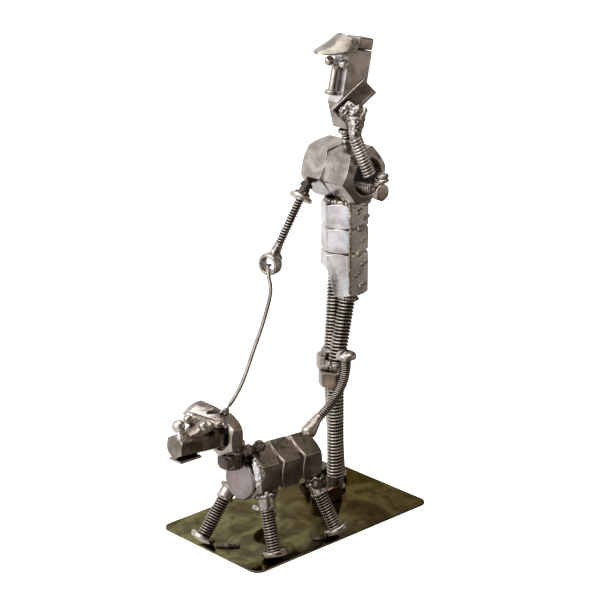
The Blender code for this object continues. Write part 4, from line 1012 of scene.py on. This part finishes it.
matrix, length, _ = measure("man_right_shoulder_cone", ARM_DOWN)
arm = seam(matrix, 1.3 * MM, 0.6 * MM, 1.0 * MM, 12) + seam(matrix, 2.1 * MM, length - 0.2 * MM, 0.8 * MM, 13)
arm += line([matrix @ Vector((0, 0, -0.6 * MM)) / MM, matrix @ Vector((0, 0, length * 0.6)) / MM], [1.4, 2.0])
weld("man_shoulder_weld", arm, seed=22, rough=0.22 * MM, look=NEAR_BLACK)
matrix, length, _ = measure("man_right_arm_bolt", ARM_DOWN)
arm_end = matrix @ Vector((0, 0, length)) / MM
matrix, length, _ = measure("man_right_fist_nut", (-0.97, -0.22, 0))
fist = matrix @ Vector((0, 0, length / 2)) / MM
near = fist + (arm_end - fist).normalized() * 3.9
arm = line([arm_end + (arm_end - near).normalized() * 1.2, (arm_end + near) / 2, near], [1.6, 1.9, 2.0])
for tip in ((0.8, -1.6, -1.4), (0.6, 1.6, -1.2)):
    arm += line([(0, 0, 0), tip], [1.8, 1.2], origin=near)
weld("man_arm_welds", arm, seed=6)
print("hand at", [round(v, 1) for v in palm["middle"]])

# %% [markdown]
# ## Welds on the dog and the plate
#
# The dog's hips and the man's shoes get short thick runs that reach from one piece to the next. The brow is
# a fan of runs that closes the gap between the skull nut, the muzzle and the eyes.

# %% Welds on the dog and the plate
dog_drops = []
for index, end in enumerate(("front", "rear")):
    for side in ("left", "right"):
        matrix, length, radius = measure(f"dog_{end}_{side}_hip_collar", UP)
        dog_drops += seam(matrix, radius * 0.95, length + 0.1 * MM, 0.8 * MM, index + 20)
        dog_drops += seam(matrix, radius * 0.9, 0, 0.6 * MM, index + 24)
for end, nut in (("front", "dog_front_body_nut"), ("rear", "dog_rear_body_nut")):
    for side in ("left", "right"):
        matrix, length, _ = measure(f"dog_{end}_{side}_hip_collar", UP)
        top = matrix @ Vector((0, 0, length)) / MM
        inward = (middle_of(nut) - top).normalized()
        dog_drops += line([top, top + inward * 2.6], [2.2, 2.0], 0.3)
for side in ("left", "right"):
    toe = middle_of(f"man_{side}_shoe_nut")
    shin = measure(f"man_{side}_shin_bolt", UP)[0].translation / MM
    way = (toe - shin).normalized()
    dog_drops += line([shin + way * 2.6 + Vector((0, 0, 1.2)), toe - way * 4.4 + Vector((0, 0, 1.0))],
                      [1.5, 1.3], 0.3)
matrix, length, radius = measure("dog_neck_nut", UP)
neck_drops = seam(matrix, radius * 0.7, -0.3 * MM, 1.0 * MM, 30)
neck_drops += seam(matrix, radius * 0.7, length + 0.2 * MM, 0.9 * MM, 31)
weld("dog_neck_welds", neck_drops, seed=24, look=NEAR_BLACK)
weld("dog_joint_welds", dog_drops, seed=7)

BROW = [(-49.6, -2.4, 53.0), (-48.9, -5.2, 52.8), (-48.0, -8.4, 52.5), (-46.8, -11.0, 52.0)]
brow = line(BROW, [1.1, 1.4, 1.5, 1.1]) + line([(-47.0, -3.0, 52.6), (-45.8, -10.6, 51.9)], [1.6, 1.6])
for shift in np.linspace(-2.0, 2.0, 11):
    low_side = 0.12 * shift ** 2
    brow += line([(-57.0, -7.2 + shift, 50.6 - low_side), (-53.4, -7.2 + shift * 1.1, 51.0 - low_side),
                  (-49.0, -7.2 + shift * 1.2, 52.2 - low_side)], [0.7, 1.4, 1.7], 0.25)
for node in ("dog_left_eye_ball", "dog_right_eye_ball"):
    brow += line([(0.4, 0, -1.1), (1.8, 0, -1.4)], [1.0, 1.2], origin=middle_of(node))
weld("dog_brow_weld", brow, seed=15, rough=0.06 * MM, look=DOG)
nose = middle_of("dog_nose_ball")
weld("dog_nose_weld", line([(-0.5, -0.9, -1.7), (-1.0, -1.9, -3.4), (-0.7, -2.4, -4.6)], [1.1, 1.0, 0.7],
                           origin=nose)
     + line([(0.8, 0.4, -1.9), (1.8, 0, -2.5)], [1.1, 0.9], origin=nose), seed=18, look=TRUNK)
weld("dog_jaw_weld", line([(-60.2, -7.2, 43.5), (-55.8, -7.2, 43.3)], [0.6, 0.6])
     + line([(-60.2, -5.4, 43.3), (-55.8, -5.4, 43.1)], [0.6, 0.6]), seed=19, look=NEAR_BLACK)
weld("dog_chest_welds", line([(-32.4, -13.6, 35.6), (-31.7, -14.6, 33.0), (-31.4, -15.0, 30.4),
                              (-31.9, -14.2, 26.6)], [1.1, 1.9, 2.1, 1.2]), seed=16, rough=0.3 * MM,
     look=TRUNK, wave=600.0)
view_way = Vector((-0.65, -0.69, 0.33))
loops = []
for index, spot in enumerate(((-33.9, -11.6, 39.4), (-27.6, -10.6, 38.6))):
    loops += seam(pose(Vector(spot) * MM, view_way), 1.3 * MM, 0, 0.8 * MM, 40 + index)
    loops += line([(0, 0, 0), (0.4, 1.6, -1.4)], [0.9, 1.2], origin=spot)
loops += line([(-33.4, -10.4, 38.4), (-30.0, -9.2, 37.6), (-27.6, -9.8, 37.4)], [1.5, 1.6, 1.3])
weld("dog_neck_loop_welds", loops, seed=20, look=NEAR_BLACK)
hip = middle_of("dog_rear_left_hip_collar")
weld("dog_haunch_weld", line([(-1.8, -1.4, 2.2), (1.0, -1.6, 1.6)], [1.9, 1.7], origin=hip)
     + line([(1.6, -1.0, 3.6), (1.2, -1.4, 0.8)], [1.3, 1.3], origin=hip), seed=21, rough=0.3 * MM,
     look=NEAR_BLACK)
low, high = corners_of("dog_nape_weld")
nape = (low + high) / 2
weld("dog_nape_weld_lump", [(nape * MM, 2.0 * MM), ((nape + Vector((0.5, 1.6, 1.2))) * MM, 1.5 * MM)],
     ("dog_nape_weld",), seed=8, rough=0.25 * MM)
weld("dog_tail_weld", line([(-0.6, 0, -2.2), (3.8, -0.1, 1.8)], [2.9, 1.75], 0.2, TAIL_ROUTE[0]), seed=9,
     rough=0.12 * MM, look=NUT, wave=600.0)
bead = line([(-46.4, -5.8, 55.4), (-44.6, -6.2, 55.5), (-42.8, -6.6, 55.0)], [0.6, 0.9, 0.6])
bead += line([(-42.4, -8.0, 54.6), (-40.8, -7.8, 54.5), (-39.2, -7.2, 54.0)], [0.6, 0.9, 1.1])
weld("lead_end_bead_weld", bead, ("lead_end_bead",), seed=10)
for node, seed in (("front_paw_weld_bead", 11), ("rear_paw_weld_bead", 12)):
    low, high = corners_of(node)
    a = Vector((low.x + 0.7, high.y - 0.7, low.z + 0.2))
    b = Vector((high.x - 0.7, low.y + 0.7, low.z + 0.2))
    weld(node + "_ripple", line([a, (a + b) / 2, b], [0.6, 1.1, 0.6]), (node,), seed, look=NEAR_BLACK)
print("welds done")

# %% [markdown]
# ## Plate
#
# The plate is thin sheet with round corners. Its solid already has the right outline, so only its edges
# are rounded, and the patina does the rest.

# %% Plate
dress("base_plate", 0.12 * MM)

# %% [markdown]
# ## Light, floor and camera
#
# Polished steel shows its surroundings more than its own colour. The photograph looks as if taken on white,
# with a large soft light on the left and a dark room on the right: the left faces are nearly white and the
# right ones dark brown. The floor and the world here are white to look at, and only what is mirrored
# in the metal falls off to the right.

# %% Floor and world
ROOM_X, ROOM_Y = 0.728, 0.686


def across_room(f, place):
    """Runs from the light side of the room to its dark side."""
    return f.part(place, "X") * ROOM_X - f.part(place, "Y") * ROOM_Y


def surroundings(f, across, up, near_side=-0.25, far_side=0.5):
    """How bright the room is at a place across it and a height."""
    fall = f.spread(across, near_side, far_side)
    top = f.spread(up, 0.50, 0.88)
    rim = f.spread(across, 0.80, 0.93)
    return (1.0 - fall * 0.92 + top * 0.30 + rim * 0.45).kept()


def room_tone(f, shade):
    """Neutral white where it is bright, warm brown as it darkens."""
    return f.add("ShaderNodeValToRGB", {"stops": (
        (0.0, (0.030, 0.022, 0.016)), (0.45, (0.400, 0.345, 0.290)), (1.0, (1.0, 1.0, 1.0)))},
        {"Fac": shade}, "Color")


floor_bm = bmesh.new()
bmesh.ops.create_circle(floor_bm, cap_ends=True, segments=96, radius=4.0)
mesh = bpy.data.meshes.new("floor")
floor_bm.to_mesh(mesh)
floor_bm.free()
floor = bpy.data.objects.new("floor", mesh)
bpy.context.scene.collection.objects.link(floor)
material, f = new_material("white_paper")
mirrored = f.add("ShaderNodeLightPath", None, None, "Is Glossy Ray")
across = across_room(f, f.place())
shade = (surroundings(f, across, 0.0, -0.05, 0.045) + f.spread(across, 0.09, 0.24) * 0.26).kept()
paper = f.add("ShaderNodeBsdfDiffuse", None, {"Color": (0.95, 0.95, 0.95)})
glow = f.add("ShaderNodeEmission", None, {"Color": (1.0, 1.0, 1.0), "Strength": 0.72})
white = f.add("ShaderNodeAddShader", None, {0: paper, 1: glow})
room = f.add("ShaderNodeEmission", None, {"Color": room_tone(f, shade), "Strength": 1.0})
mixed = f.add("ShaderNodeMixShader", None, {0: mirrored, 1: white, 2: room})
f.add("ShaderNodeOutputMaterial", None, {"Surface": mixed})
mesh.materials.append(material)

world = bpy.data.worlds.new("studio")
bpy.context.scene.world = world
world.use_nodes = True
f = Finish(world.node_tree)
place = f.place("Generated")
mirrored = f.add("ShaderNodeLightPath", None, None, "Is Glossy Ray")
shade = surroundings(f, across_room(f, place), f.part(place, "Z"))
sky = f.blend(mirrored, (1.0, 1.0, 1.0), room_tone(f, shade))
back = f.add("ShaderNodeBackground", None, {"Color": sky, "Strength": 1.0})
f.add("ShaderNodeOutputWorld", None, {"Surface": back})

# %% [markdown]
# ## Lights and camera
#
# Two softboxes look at the middle of the sculpture. The camera was fitted to the photograph by the corners
# of the plate and the upright of the man, with a long lens.

# %% Lights and camera
def softbox(name, place, power, size):
    data = bpy.data.lights.new(name, "AREA")
    data.energy = power
    data.size = size
    lamp = bpy.data.objects.new(name, data)
    lamp.location = place
    lamp.rotation_euler = (Vector((0, 0, 0.08)) - Vector(place)).to_track_quat("-Z", "Y").to_euler()
    bpy.context.scene.collection.objects.link(lamp)


softbox("key_softbox", (-0.9, 0.15, 0.75), 7.0, 0.9)
softbox("top_softbox", (0.1, 0.0, 1.0), 3.5, 0.8)
camera_data = bpy.data.cameras.new("camera")
camera_data.lens = 120
camera_data.sensor_width = 36
camera_data.clip_start = 0.01
camera = bpy.data.objects.new("camera", camera_data)
camera.location = (-0.4508, -0.4804, 0.3102)
camera.rotation_euler = (math.radians(70.93), 0, math.radians(-43.28))
bpy.context.scene.collection.objects.link(camera)
bpy.context.scene.camera = camera
bpy.context.scene.view_settings.view_transform = "Standard"
print("camera set")
